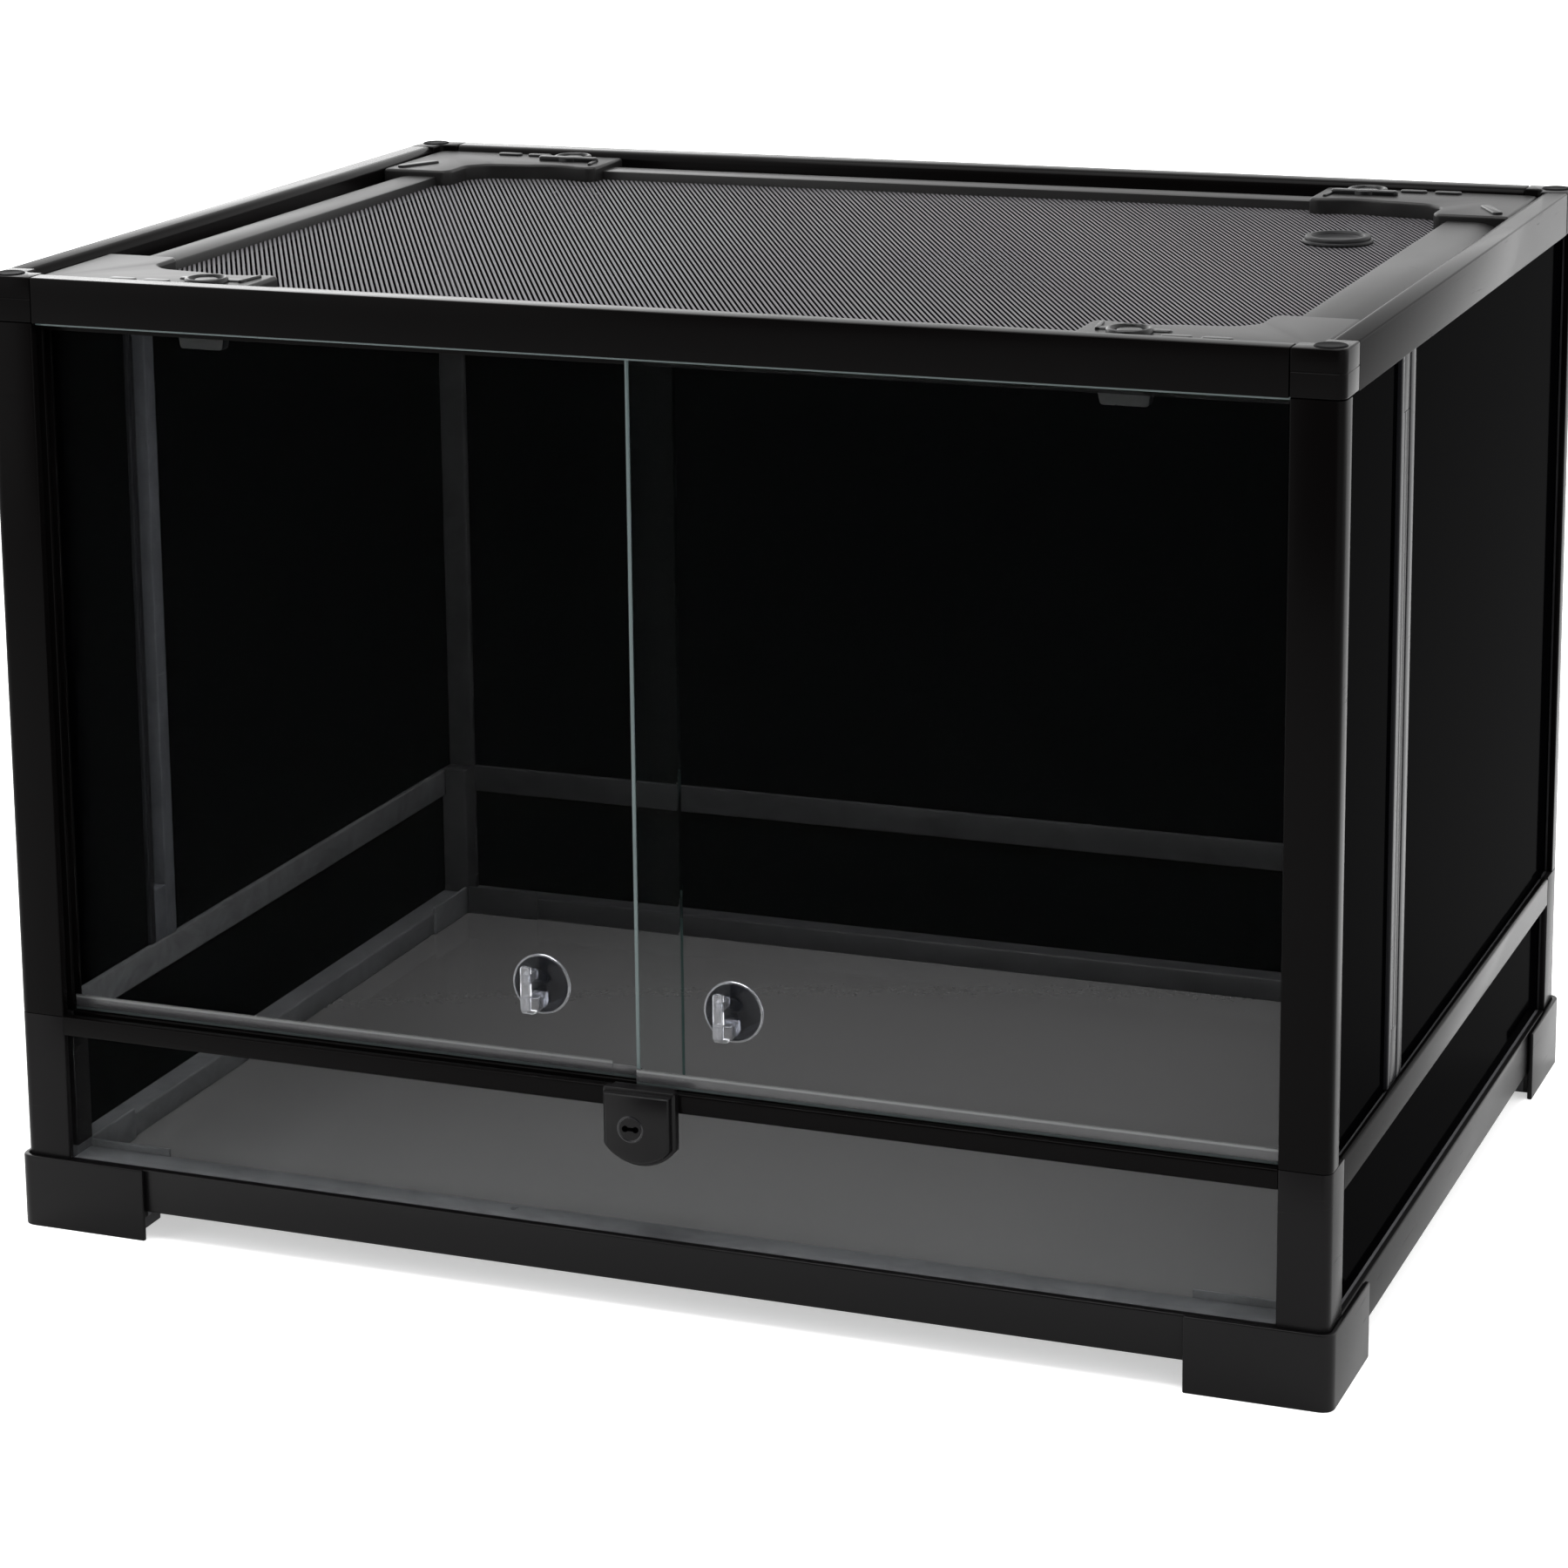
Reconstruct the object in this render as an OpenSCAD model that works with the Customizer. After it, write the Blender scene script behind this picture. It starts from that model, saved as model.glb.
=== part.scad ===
// Glass reptile terrarium with sliding front doors and a lift-off mesh lid.
// Frame: X runs along the front, Y runs to the back, Z is up.
// The origin is under the middle of the enclosure, on the surface it stands on.

/* [Enclosure] */
// Outside width over the rails
body_w = 600; // [520:5:900]
// Outside depth over the rails
body_d = 450; // [400:5:600]
// Height from the floor to the top of the frame
body_h = 435; // [380:5:600]

/* [Frame] */
// Height of the top and bottom rails
rail_h = 20; // [18:0.5:26]
// Width of a bottom rail
bottom_rail_w = 20; // [18:0.5:26]
// Width of the top rails, seen from above
top_rail_w = 13; // [12.5:0.5:16]
// Length of the face that each corner piece shows
corner_len = 22; // [20:0.5:26]
// Depth of an upper post along the side of the enclosure
post_d = 12; // [11:0.5:16]
// Rounding of the upright outer edges
post_r = 4; // [2:0.5:6]
// Height of the middle rails
mid_rail_h = 14; // [12.5:0.5:18]
// Thickness of the middle rails
mid_rail_t = 10.5; // [10.5:0.5:14]
// Height of the top of the middle rails
mid_top_z = 100.5; // [90:0.5:140]
// Height of the lid's ledge inside the top rails
ledge_h = 6; // [5:0.5:8]
// How far the lid's ledge stands out from the top rails
ledge_w = 5; // [4.5:0.5:6]
// Radius of the flat cap on each top corner
cap_r = 6.7; // [3:0.1:6.8]

/* [Feet] */
// Length of a foot along each rail
foot_len = 60; // [50:1:80]
// Thickness of a foot outside the rails
foot_t = 2.5; // [2:0.1:4]
// Height of the gap under the rails
foot_gap = 13; // [10:0.5:20]

/* [Glass] */
// Thickness of the glass
glass_t = 4; // [3:0.5:5]
// Distance from the outside of the frame to the fixed glass
glass_in = 4; // [3.5:0.5:5]
// Depth of the grooves that hold the glass
groove_d = 5; // [4:0.5:6]
// Clearance on each side of a pane in its groove
glass_gap = 0.2; // [0.1:0.05:0.4]
// Height of the top of the floor panel
floor_z = 21.5; // [20:0.5:25]

/* [Doors] */
// How far the doors overlap in the middle
door_overlap = 18; // [12:1:40]
// Left edge of the front door
door_edge_x = -2; // [-20:1:20]
// Space between the two doors
door_gap = 3; // [2:0.5:5]
// Distance from the front of the frame to the front door
door_in = 5; // [4.5:0.5:7]
// Running clearance of the doors in their tracks
door_play = 0.4; // [0.3:0.05:0.8]
// Height of the lower door track
track_h = 8.7; // [8:0.1:12]

/* [Handles] */
// Diameter of a suction handle
handle_d = 26; // [20:1:36]
// Thickness of the suction disc
handle_t = 3; // [2:0.5:4]
// How far a handle stands out from the glass
handle_out = 13; // [9:0.5:13]
// Height of the handles
handle_z = 138.5; // [125:0.5:250]
// Distance of the left handle from the middle
handle_left_x = 48; // [40:1:150]
// Distance of the right handle from the middle
handle_right_x = 43; // [25:1:250]

// Height of the clear strip on the foot of each door
runner_h = 7; // [4:0.5:10]

/* [Lock] */
// Width of the lock housing
lock_w = 33; // [30:1:44]
// Height of the lock housing
lock_h = 34; // [28:1:40]
// How far the lock housing stands out from the frame
lock_out = 8; // [7:0.5:8]
// Radius of the lock cylinder
lock_r = 6; // [4:0.5:8]
// Middle of the lock housing
lock_x = 2.4; // [-20:0.1:20]
// Offset of the lock cylinder from the middle of its housing
lock_cyl_dx = -2.6; // [-5:0.1:5]

/* [Vent bars] */
// Width of a vent bar
vent_w = 25; // [20:0.5:40]
// Distance of a vent bar's middle in front of the enclosure's middle
vent_y = 108; // [60:1:140]
// Width of the perforated strip in a vent bar
vent_slot_w = 11; // [6:0.5:14]

/* [Lid] */
// Width of the lid's front and back rails
lid_rail_w = 27; // [24:0.5:32]
// Width of the lid's side rails
lid_side_w = 29; // [24:0.5:32]
// Height of the lid's rails
lid_rail_h = 8; // [7:0.5:9]
// Clearance round the lid inside the top rails
lid_gap = 1.5; // [1:0.1:2]
// Length of a lid corner along the front and back
lid_arm_x = 102; // [95:1:120]
// Length of a lid corner along the sides
lid_arm_y = 70; // [50:1:80]
// Depth of a lid corner along the front and back
lid_arm_dx = 38; // [34:0.5:44]
// Width of a lid corner along the sides
lid_arm_dy = 36; // [34:0.5:44]
// Height of the lid's corner pieces
lid_corner_h = 11; // [10.5:0.5:12]
// Thickness of the lid mesh
mesh_t = 0.8; // [0.6:0.1:1.2]
// Outer radius of the cable grommet
grommet_r = 16; // [14:0.5:20]
// Radius of the cable grommet's opening
grommet_bore_r = 10; // [8:0.5:11]
// Distance of the grommet's middle from the right side of the enclosure
grommet_in_x = 82; // [75:1:200]
// Distance of the grommet's middle from the back of the enclosure
grommet_in_y = 133; // [115:1:200]

/* [Latches] */
// Distance of each latch from the middle of the lid's end
latch_in_x = 79.5; // [70:0.5:84]
// Distance from the lid's edge to the latch
latch_in_y = 12.5; // [12:0.1:13]
// Length of a latch's grip bar
latch_bar_l = 32; // [24:1:34]
// Radius of the disc under the grip bar
latch_disc_r = 9.5; // [6:0.5:9.5]
// Travel of a latch
latch_travel = 3.5; // [2.8:0.1:3.6]

/* [Hidden] */
$fn = 64;
seat = 0.3;          // gap between pieces that move and what they rest on
fit = 0.05;          // running clearance of the lock cylinder
eps = 1;             // how far a cut runs past a face
half_w = body_w / 2;
half_d = body_d / 2;
top_z = body_h - rail_h;            // underside of the top rails
base_top = foot_gap + rail_h;       // top of the bottom rails
track_top = mid_top_z;              // top of the lower door track
groove_w = glass_t + 2 * glass_gap; // width of a fixed groove
mid_groove = 4;                     // depth of the grooves in the middle rails
door_tread = 4.6;                   // depth of the door grooves in the lower track
pane_out = glass_in + glass_t;      // inner face of the fixed glass, from the outside
door_slot = glass_t + 2 * door_play;
door_front_y = -half_d + door_in;               // front face of the front door
door_rear_y = door_front_y + glass_t + door_gap; // front face of the rear door
door_back_y = door_rear_y + glass_t;            // back face of the rear door
inner_w = half_w - corner_len;                  // inner face of the posts
inner_d = half_d - corner_len;
door_block_y = door_back_y + door_play + 1.6;   // back of the door channels
roof = 1.2;                                     // wall above the top door grooves
front_wall = door_in - door_play - 1.4;         // front wall of the top rail beside the door track
top_groove = 4;                                 // depth of the glass grooves in the top rails
pane_lo = mid_top_z - mid_groove + glass_gap;   // lower and upper edges of the upper glass
pane_hi = top_z + top_groove - glass_gap;
door_z0 = track_top - door_tread + seat;        // lower and upper edges of the doors
door_z1 = top_z + 3.5;
runner_t = 0.6;                                 // thickness of a door's clear strip
runner_end = 0.5;                               // gap between the strip and the post
runner_stop = 14;                               // the rear door's full strip ends this far from the front door
runner_step = 1.6;                              // its last stretch is this much lower
bar_groove = 4;                                 // depth of the grooves at the edges of a vent bar
vent_wall = 1.6;
vent_z0 = mid_top_z + seat;
vent_z1 = top_z - seat;
lid_z = top_z + ledge_h + seat;                 // underside of the lid
lid_x = half_w - top_rail_w - lid_gap;          // outer edges of the lid
lid_y = half_d - top_rail_w - lid_gap;
mesh_z = lid_z + 2.8;
grommet_x = half_w - grommet_in_x;
grommet_y = half_d - grommet_in_y;
mesh_in = 3;                                    // how far the mesh runs into the lid's rails
latch_x = lid_x - latch_in_x;
latch_y = lid_y - latch_in_y;
stem_l = 20;                                    // stem through the lid
stem_t = 2.5;
stem_off = 1;                                   // stem and hook sit outside the bar's middle
hook_l = 27;
hook_t = 6;
hook_h = 10.5;
bar_t = 5;
bar_in = 6;                                     // the grip bar lies this far inside the disc's middle
latch_play = 0.3;
latch_pocket = 2;                               // depth of the pocket round a latch
lid_top = lid_z + lid_corner_h;
oval_h = 1.2;
track_rear_y = door_block_y;                    // back of the top door track
lock_z = track_top + 1.2 - lock_h;              // bottom of the lock housing
lock_axis_z = track_top - 15.4;
lock_front_y = -half_d - lock_out;
lock_cavity = 5;

// ---- helpers ---------------------------------------------------------------

// A box given by its lowest and highest corners.
module span(lo, hi) { translate(lo) cube(hi - lo); }

// A child drawn for the front left quarter, put at one of the four corners.
// sx and sy are -1 or 1 for left or right and front or back.
module at_corner(sx, sy) { mirror([sx > 0 ? 1 : 0, 0, 0]) mirror([0, sy > 0 ? 1 : 0, 0]) children(); }

// Plan of a block at the front left corner with its outer edge rounded.
module corner_plan(lx, ly, r) {
    translate([-half_w, -half_d])
        union() {
            translate([r, 0]) square([lx - r, ly]);
            translate([0, r]) square([lx, ly - r]);
            translate([r, r]) circle(r);
        }
}

// ---- bottom frame ----------------------------------------------------------

// Section of a bottom rail, outside at 0, with grooves for the glass and the floor.
module bottom_section() {
    difference() {
        square([bottom_rail_w, rail_h]);
        translate([glass_in - glass_gap, rail_h - groove_d]) square([groove_w, groove_d + eps]);
        translate([bottom_rail_w - groove_d, floor_z - foot_gap - glass_t - glass_gap])
            square([groove_d + eps, groove_w]);
    }
}

// A bottom rail along the front, between the corner blocks.
module bottom_rail_x() {
    translate([-inner_w, -half_d, foot_gap]) rotate([90, 0, 90]) linear_extrude(2 * inner_w) bottom_section();
}
module bottom_rail_y() {
    translate([-half_w, inner_d, foot_gap]) rotate([90, 0, 0]) linear_extrude(2 * inner_d) bottom_section();
}
module bottom_rail_front() { color("#141415") bottom_rail_x(); }
module bottom_rail_back() { color("#141415") mirror([0, 1, 0]) bottom_rail_x(); }
module bottom_rail_left() { color("#141415") bottom_rail_y(); }
module bottom_rail_right() { color("#141415") mirror([1, 0, 0]) bottom_rail_y(); }

// An angled foot that wraps a corner of the bottom frame from below.
module foot(sx, sy) {
    wall = 3;
    color("#19191a") at_corner(sx, sy) difference() {
        union() {
            linear_extrude(base_top) translate([-foot_t, -foot_t])
                corner_plan(foot_len + foot_t, foot_t + 1, post_r);
            linear_extrude(base_top) translate([-foot_t, -foot_t])
                corner_plan(foot_t + 1, foot_len + foot_t, post_r);
            linear_extrude(foot_gap)
                translate([-foot_t, -foot_t]) corner_plan(foot_len, bottom_rail_w + foot_t + wall, post_r);
            linear_extrude(foot_gap)
                translate([-foot_t, -foot_t]) corner_plan(bottom_rail_w + foot_t + wall, foot_len, post_r);
            span([-half_w + corner_len + seat, -half_d + bottom_rail_w, 0],
                 [-half_w + foot_len - foot_t, -half_d + bottom_rail_w + wall, floor_z - glass_t - seat]);
            span([-half_w + bottom_rail_w, -half_d + corner_len + seat, 0],
                 [-half_w + bottom_rail_w + wall, -half_d + foot_len - foot_t, floor_z - glass_t - seat]);
        }
        // room for the rails and the corner block
        translate([0, 0, foot_gap]) linear_extrude(rail_h + eps) {
            corner_plan(foot_len + eps, bottom_rail_w, post_r);
            corner_plan(bottom_rail_w, foot_len + eps, post_r);
            corner_plan(corner_len, corner_len, post_r);
        }
        // hollow underside, open downwards inside the outer walls
        span([-half_w + wall, -half_d + wall, -eps],
             [-half_w + foot_len + eps, -half_d + bottom_rail_w - 1, foot_gap - wall]);
        span([-half_w + wall, -half_d + wall, -eps],
             [-half_w + bottom_rail_w - 1, -half_d + foot_len + eps, foot_gap - wall]);
    }
}

module floor_panel() {
    in = bottom_rail_w - groove_d + glass_gap;
    cut = corner_len - in + seat;
    color("#4d4d4d") difference() {
        span([-half_w + in, -half_d + in, floor_z - glass_t], [half_w - in, half_d - in, floor_z]);
        for (sx = [-1, 1], sy = [-1, 1])
            at_corner(sx, sy)
                span([-half_w + in - eps, -half_d + in - eps, floor_z - glass_t - eps],
                     [-half_w + in + cut, -half_d + in + cut, floor_z + eps]);
    }
}

// ---- lower storey ----------------------------------------------------------

// Corner block from under the bottom rails up to the middle rails.
module lower_post(sx, sy) {
    color("#19191a") at_corner(sx, sy) difference() {
        translate([0, 0, foot_gap]) linear_extrude(mid_top_z - foot_gap)
            corner_plan(corner_len, corner_len, post_r);
        // groove for the front or back glass
        span([-half_w + corner_len - groove_d, -half_d + glass_in - glass_gap, base_top - groove_d],
             [-half_w + corner_len + eps, -half_d + pane_out + glass_gap, mid_top_z - groove_d]);
        // groove for the side glass
        span([-half_w + glass_in - glass_gap, -half_d + corner_len - groove_d, base_top - groove_d],
             [-half_w + pane_out + glass_gap, -half_d + corner_len + eps, mid_top_z - groove_d]);
        // room at the top for the lower edges of the upper glass and the doors
        span([-half_w + glass_in - glass_gap, -half_d + post_d - groove_d, mid_top_z - mid_groove],
             [-half_w + pane_out + glass_gap, -half_d + corner_len + eps, mid_top_z + eps]);
        if (sy > 0)
            span([-inner_w - groove_d, -half_d + glass_in - glass_gap, mid_top_z - mid_groove],
                 [-inner_w + eps, -half_d + pane_out + glass_gap, mid_top_z + eps]);
        else
            span([-inner_w - groove_d, door_front_y - door_play, track_top - door_tread],
                 [-inner_w + eps, door_back_y + door_play, mid_top_z + eps]);
    }
}

module lower_pane_x(top) {
    span([-inner_w - groove_d + glass_gap, -half_d + glass_in, base_top - groove_d + glass_gap],
         [inner_w + groove_d - glass_gap, -half_d + pane_out, top]);
}
module lower_pane_y() {
    span([-half_w + glass_in, -inner_d - groove_d + glass_gap, base_top - groove_d + glass_gap],
         [-half_w + pane_out, inner_d + groove_d - glass_gap, mid_top_z - mid_rail_h + mid_groove - glass_gap]);
}
module lower_glass_front() { color("#9fb4b0", 0.3) lower_pane_x(track_top - track_h + 2 - glass_gap); }
module lower_glass_back() {
    color("#070708") mirror([0, 1, 0]) lower_pane_x(mid_top_z - mid_rail_h + mid_groove - glass_gap);
}
module lower_glass_left() { color("#070708") lower_pane_y(); }
module lower_glass_right() { color("#070708") mirror([1, 0, 0]) lower_pane_y(); }

// Section of a middle rail: outside at 0, a groove above and below for the glass.
module mid_section() {
    difference() {
        union() {
            square([mid_rail_t, mid_rail_h - 1.6]);
            translate([1.6, 0]) square([mid_rail_t - 1.6, mid_rail_h]);
            intersection() {
                translate([1.6, mid_rail_h - 1.6]) circle(1.6);
                square([1.6, mid_rail_h]);
            }
        }
        translate([glass_in - glass_gap, mid_rail_h - mid_groove]) square([groove_w, mid_groove + eps]);
        translate([glass_in - glass_gap, -eps]) square([groove_w, mid_groove + eps]);
    }
}
module mid_rail_side() {
    translate([-half_w, inner_d, mid_top_z - mid_rail_h]) rotate([90, 0, 0])
        linear_extrude(2 * inner_d) mid_section();
}
module mid_rail_left() { color("#151516") mid_rail_side(); }
module mid_rail_right() { color("#151516") mirror([1, 0, 0]) mid_rail_side(); }
module mid_rail_back() {
    color("#151516") mirror([0, 1, 0]) translate([-inner_w, -half_d, mid_top_z - mid_rail_h])
        rotate([90, 0, 90]) linear_extrude(2 * inner_w) mid_section();
}

// The lower door track: two grooves above, one groove below for the lower glass.
module door_track_lower() {
    color("#151516") difference() {
        span([-inner_w, -half_d, track_top - track_h], [inner_w, door_block_y, track_top]);
        span([-inner_w - eps, door_front_y - door_play, track_top - door_tread],
             [inner_w + eps, door_front_y + glass_t + door_play, track_top + eps]);
        span([-inner_w - eps, door_rear_y - door_play, track_top - door_tread],
             [inner_w + eps, door_back_y + door_play, track_top + eps]);
        span([-inner_w - eps, -half_d + glass_in - glass_gap, track_top - track_h - eps],
             [inner_w + eps, -half_d + pane_out + glass_gap, track_top - track_h + 2]);
    }
}

// ---- upper storey ----------------------------------------------------------

// Plan of a front post: a block at the corner and the door channels behind it.
module front_post_plan() {
    difference() {
        union() {
            corner_plan(corner_len, post_d, post_r);
            translate([-half_w + pane_out + glass_gap + 1.6, -half_d + post_d - eps])
                square([corner_len - pane_out - glass_gap - 1.6, door_block_y + half_d - post_d + eps]);
        }
        translate([-half_w + glass_in - glass_gap, -half_d + post_d - groove_d]) square([groove_w, groove_d + eps]);
        translate([-inner_w - groove_d, door_front_y - door_play]) square([groove_d + eps, door_slot]);
        translate([-inner_w - groove_d, door_rear_y - door_play]) square([groove_d + eps, door_slot]);
    }
}
module back_post_plan() {
    difference() {
        corner_plan(corner_len, post_d, post_r);
        translate([-half_w + glass_in - glass_gap, -half_d + post_d - groove_d]) square([groove_w, groove_d + eps]);
        translate([-inner_w - groove_d, -half_d + glass_in - glass_gap]) square([groove_d + eps, groove_w]);
    }
}
module upper_post(sx, sy) {
    color("#111112") at_corner(sx, sy) translate([0, 0, mid_top_z]) linear_extrude(top_z - mid_top_z)
        if (sy < 0) front_post_plan(); else back_post_plan();
}

module side_pane(y0, y1) {
    span([-half_w + glass_in, y0, pane_lo], [-half_w + pane_out, y1, pane_hi]);
}
module front_side_pane() {
    side_pane(-half_d + post_d - groove_d + glass_gap, -vent_y - vent_w / 2 + bar_groove - glass_gap);
}
module rear_side_pane() {
    side_pane(-vent_y + vent_w / 2 - bar_groove + glass_gap, half_d - post_d + groove_d - glass_gap);
}
module side_glass_left_front() { color("#070708") front_side_pane(); }
module side_glass_left_rear() { color("#070708") rear_side_pane(); }
module side_glass_right_front() { color("#070708") mirror([1, 0, 0]) front_side_pane(); }
module side_glass_right_rear() { color("#070708") mirror([1, 0, 0]) rear_side_pane(); }
module back_glass() {
    color("#070708") span([-inner_w - groove_d + glass_gap, half_d - pane_out, pane_lo],
                          [inner_w + groove_d - glass_gap, half_d - glass_in, pane_hi]);
}

// A vent bar joins the two side panes and carries a perforated strip.
module vent_bar_plan() {
    x0 = -half_w + glass_in - glass_gap - vent_wall;
    y0 = -vent_y - vent_w / 2;
    difference() {
        translate([x0, y0]) square([groove_w + 2 * vent_wall, vent_w]);
        translate([x0 + vent_wall, y0 - eps]) square([groove_w, bar_groove + eps]);
        translate([x0 + vent_wall, y0 + vent_w - bar_groove]) square([groove_w, bar_groove + eps]);
    }
}
module vent_bar() {
    y0 = -vent_y - vent_w / 2 + bar_groove + 1;
    difference() {
        translate([0, 0, vent_z0]) linear_extrude(vent_z1 - vent_z0) vent_bar_plan();
        span([-half_w - eps, y0, vent_z0 + vent_w], [-half_w + pane_out + 4, y0 + vent_slot_w, vent_z1 - vent_w]);
    }
}
module vent_bar_left() { color("#1d1d1f") vent_bar(); }
module vent_bar_right() { color("#1d1d1f") mirror([1, 0, 0]) vent_bar(); }
module vent_mesh() {
    y0 = -vent_y - vent_w / 2 + bar_groove + 1;
    x0 = -half_w + glass_in - glass_gap - vent_wall + 0.3;
    color("#2c2c30") for (side = [0, 1]) mirror([side, 0, 0])
        span([x0, y0, vent_z0 + vent_w], [x0 + 1.2, y0 + vent_slot_w, vent_z1 - vent_w]);
}

// ---- top frame -------------------------------------------------------------

// A top corner with room for the upper edges of the glass and the doors.
module top_corner(sx, sy) {
    color("#121213") at_corner(sx, sy) {
        difference() {
            translate([0, 0, top_z]) linear_extrude(rail_h) {
                corner_plan(corner_len, top_rail_w, post_r);
                corner_plan(top_rail_w, corner_len, post_r);
            }
            span([-half_w + glass_in - glass_gap, -half_d + post_d - groove_d, top_z - eps],
                 [-half_w + pane_out + glass_gap, -inner_d + eps, top_z + top_groove]);
            if (sy > 0)
                span([-inner_w - groove_d, -half_d + glass_in - glass_gap, top_z - eps],
                     [-inner_w + eps, -half_d + pane_out + glass_gap, top_z + top_groove]);
            else
                span([-inner_w - groove_d, door_front_y - door_play, top_z - eps],
                     [-inner_w + eps, -half_d + top_rail_w + eps, top_z + ledge_h - roof]);
        }
        translate([-half_w + cap_r + 1.3, -half_d + cap_r + 1.3, body_h - eps]) cylinder(r = cap_r, h = eps + 0.6);
    }
}

// Section of a top rail with its ledge and a groove under it for the glass.
module top_section() {
    difference() {
        union() {
            square([top_rail_w, rail_h - 1.5]);
            square([top_rail_w - 1.5, rail_h]);
            translate([top_rail_w - 1.5, rail_h - 1.5]) circle(1.5);
            square([top_rail_w + ledge_w, ledge_h]);
        }
        translate([glass_in - glass_gap, -eps]) square([groove_w, top_groove + eps]);
    }
}
module top_rail_side() {
    translate([-half_w, inner_d, top_z]) rotate([90, 0, 0]) linear_extrude(2 * inner_d) top_section();
}
module top_rail_left() { color("#131314") top_rail_side(); }
module top_rail_right() { color("#131314") mirror([1, 0, 0]) top_rail_side(); }
module top_rail_back() {
    color("#131314") mirror([0, 1, 0]) translate([-inner_w, -half_d, top_z])
        rotate([90, 0, 90]) linear_extrude(2 * inner_w) top_section();
}
// The front rail has no glass groove and no ledge: the door track fills its underside.
module front_section() {
    square([top_rail_w, rail_h - 1.5]);
    square([top_rail_w - 1.5, rail_h]);
    translate([top_rail_w - 1.5, rail_h - 1.5]) circle(1.5);
}
module top_rail_front() {
    color("#131314") difference() {
        translate([-inner_w, -half_d, top_z]) rotate([90, 0, 90]) linear_extrude(2 * inner_w) front_section();
        span([-inner_w - eps, -half_d + front_wall, top_z - eps],
             [inner_w + eps, -half_d + top_rail_w + eps, top_z + ledge_h]);
    }
}
module door_track_upper() {
    color("#151516") difference() {
        span([-inner_w, -half_d + front_wall, top_z], [inner_w, track_rear_y, top_z + ledge_h]);
        span([-inner_w - eps, door_front_y - door_play, top_z - eps],
             [inner_w + eps, door_front_y + glass_t + door_play, top_z + ledge_h - roof]);
        span([-inner_w - eps, door_rear_y - door_play, top_z - eps],
             [inner_w + eps, door_back_y + door_play, top_z + ledge_h - roof]);
    }
}

// ---- doors -----------------------------------------------------------------

module door_left() {
    color("#9fb4b0", 0.3) span([-inner_w - groove_d + door_play, door_rear_y, door_z0],
                               [door_edge_x + door_overlap, door_back_y, door_z1]);
}
module door_right() {
    color("#9fb4b0", 0.3) span([door_edge_x, door_front_y, door_z0],
                               [inner_w + groove_d - door_play, door_front_y + glass_t, door_z1]);
}

// The clear strip on the foot of each door.
module door_runner_left() {
    color("#c4cccb", 0.5) {
        span([-inner_w + runner_end, door_rear_y - runner_t, track_top + seat],
             [door_edge_x - runner_stop, door_rear_y, track_top + seat + runner_h]);
        span([door_edge_x - runner_stop - eps, door_rear_y - runner_t, track_top + seat],
             [door_edge_x, door_rear_y, track_top + seat + runner_h - runner_step]);
    }
}
module door_runner_right() {
    color("#c4cccb", 0.5) span([door_edge_x, door_front_y - runner_t, track_top + seat],
                               [inner_w - runner_end, door_front_y, track_top + seat + runner_h]);
}

// A clear suction disc with a stepped hook on its face. y is the glass it sits on.
module suction_handle(x, y) {
    boss_r = 5;
    hook_w = 5;
    color("#e8eef0", 0.5) translate([x, y - seat, handle_z]) {
        rotate([90, 0, 0]) {
            cylinder(r = handle_d / 2, h = handle_t * 0.5);
            cylinder(r = handle_d / 2 - 2, h = handle_t);
            cylinder(r = boss_r, h = handle_out - hook_w / 2);
        }
        // upright finger of the hook and its foot
        span([-hook_w / 2, -handle_out + seat, -handle_d / 3], [hook_w / 2, -handle_t, handle_d / 3.4]);
        span([-hook_w / 2, -handle_out + seat, -handle_d / 3], [hook_w * 1.6, -handle_t, -handle_d / 3 + 7]);
    }
}
module door_handle_left() { suction_handle(-handle_left_x, door_rear_y); }
module door_handle_right() { suction_handle(handle_right_x, door_front_y); }

// ---- lock ------------------------------------------------------------------

// Front outline of the lock housing: straight sides and a round lower end.
module lock_outline(inset) {
    r = lock_w * 0.62;
    intersection() {
        translate([-lock_w / 2 + inset, inset]) square([lock_w - 2 * inset, lock_h - 2 * inset]);
        union() {
            translate([0, r]) circle(r - inset);
            translate([-lock_w / 2, lock_h / 2]) square([lock_w, lock_h]);
        }
    }
}
module lock_housing() {
    wall = 1.6;
    color("#151516") difference() {
        translate([lock_x, -half_d - seat / 3, lock_z]) rotate([90, 0, 0])
            linear_extrude(lock_out - seat / 3) lock_outline(0);
        // space for the cam, open at the back
        translate([lock_x, -half_d + eps, lock_z]) rotate([90, 0, 0])
            linear_extrude(lock_cavity + eps) lock_outline(wall);
        translate([lock_x + lock_cyl_dx, -half_d, lock_axis_z]) rotate([90, 0, 0])
            cylinder(r = lock_r + fit, h = lock_out + eps);
    }
}
// The turning barrel with its keyhole and the cam behind it.
module lock_cylinder() {
    cam_l = 11;
    cam_t = 2;
    slot_depth = 2.5;
    color("#242426") translate([lock_x + lock_cyl_dx, -half_d - seat - 1.2, lock_axis_z]) {
        difference() {
            rotate([90, 0, 0]) cylinder(r = lock_r, h = lock_out - seat - 1.2 - 0.4);
            translate([0, -(lock_out - seat - 1.2 - 0.4) - eps, 0]) {
                span([-2.2, 0, -0.7], [2.2, slot_depth + eps, 0.7]);
                for (side = [-1, 1]) translate([side * 2.4, slot_depth + eps, 0]) rotate([90, 0, 0])
                    cylinder(r = 1.2, h = slot_depth + eps);
            }
        }
        span([-2.5, -cam_t, -cam_l], [2.5, 0, 0]);
    }
}

// ---- lid -------------------------------------------------------------------

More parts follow.
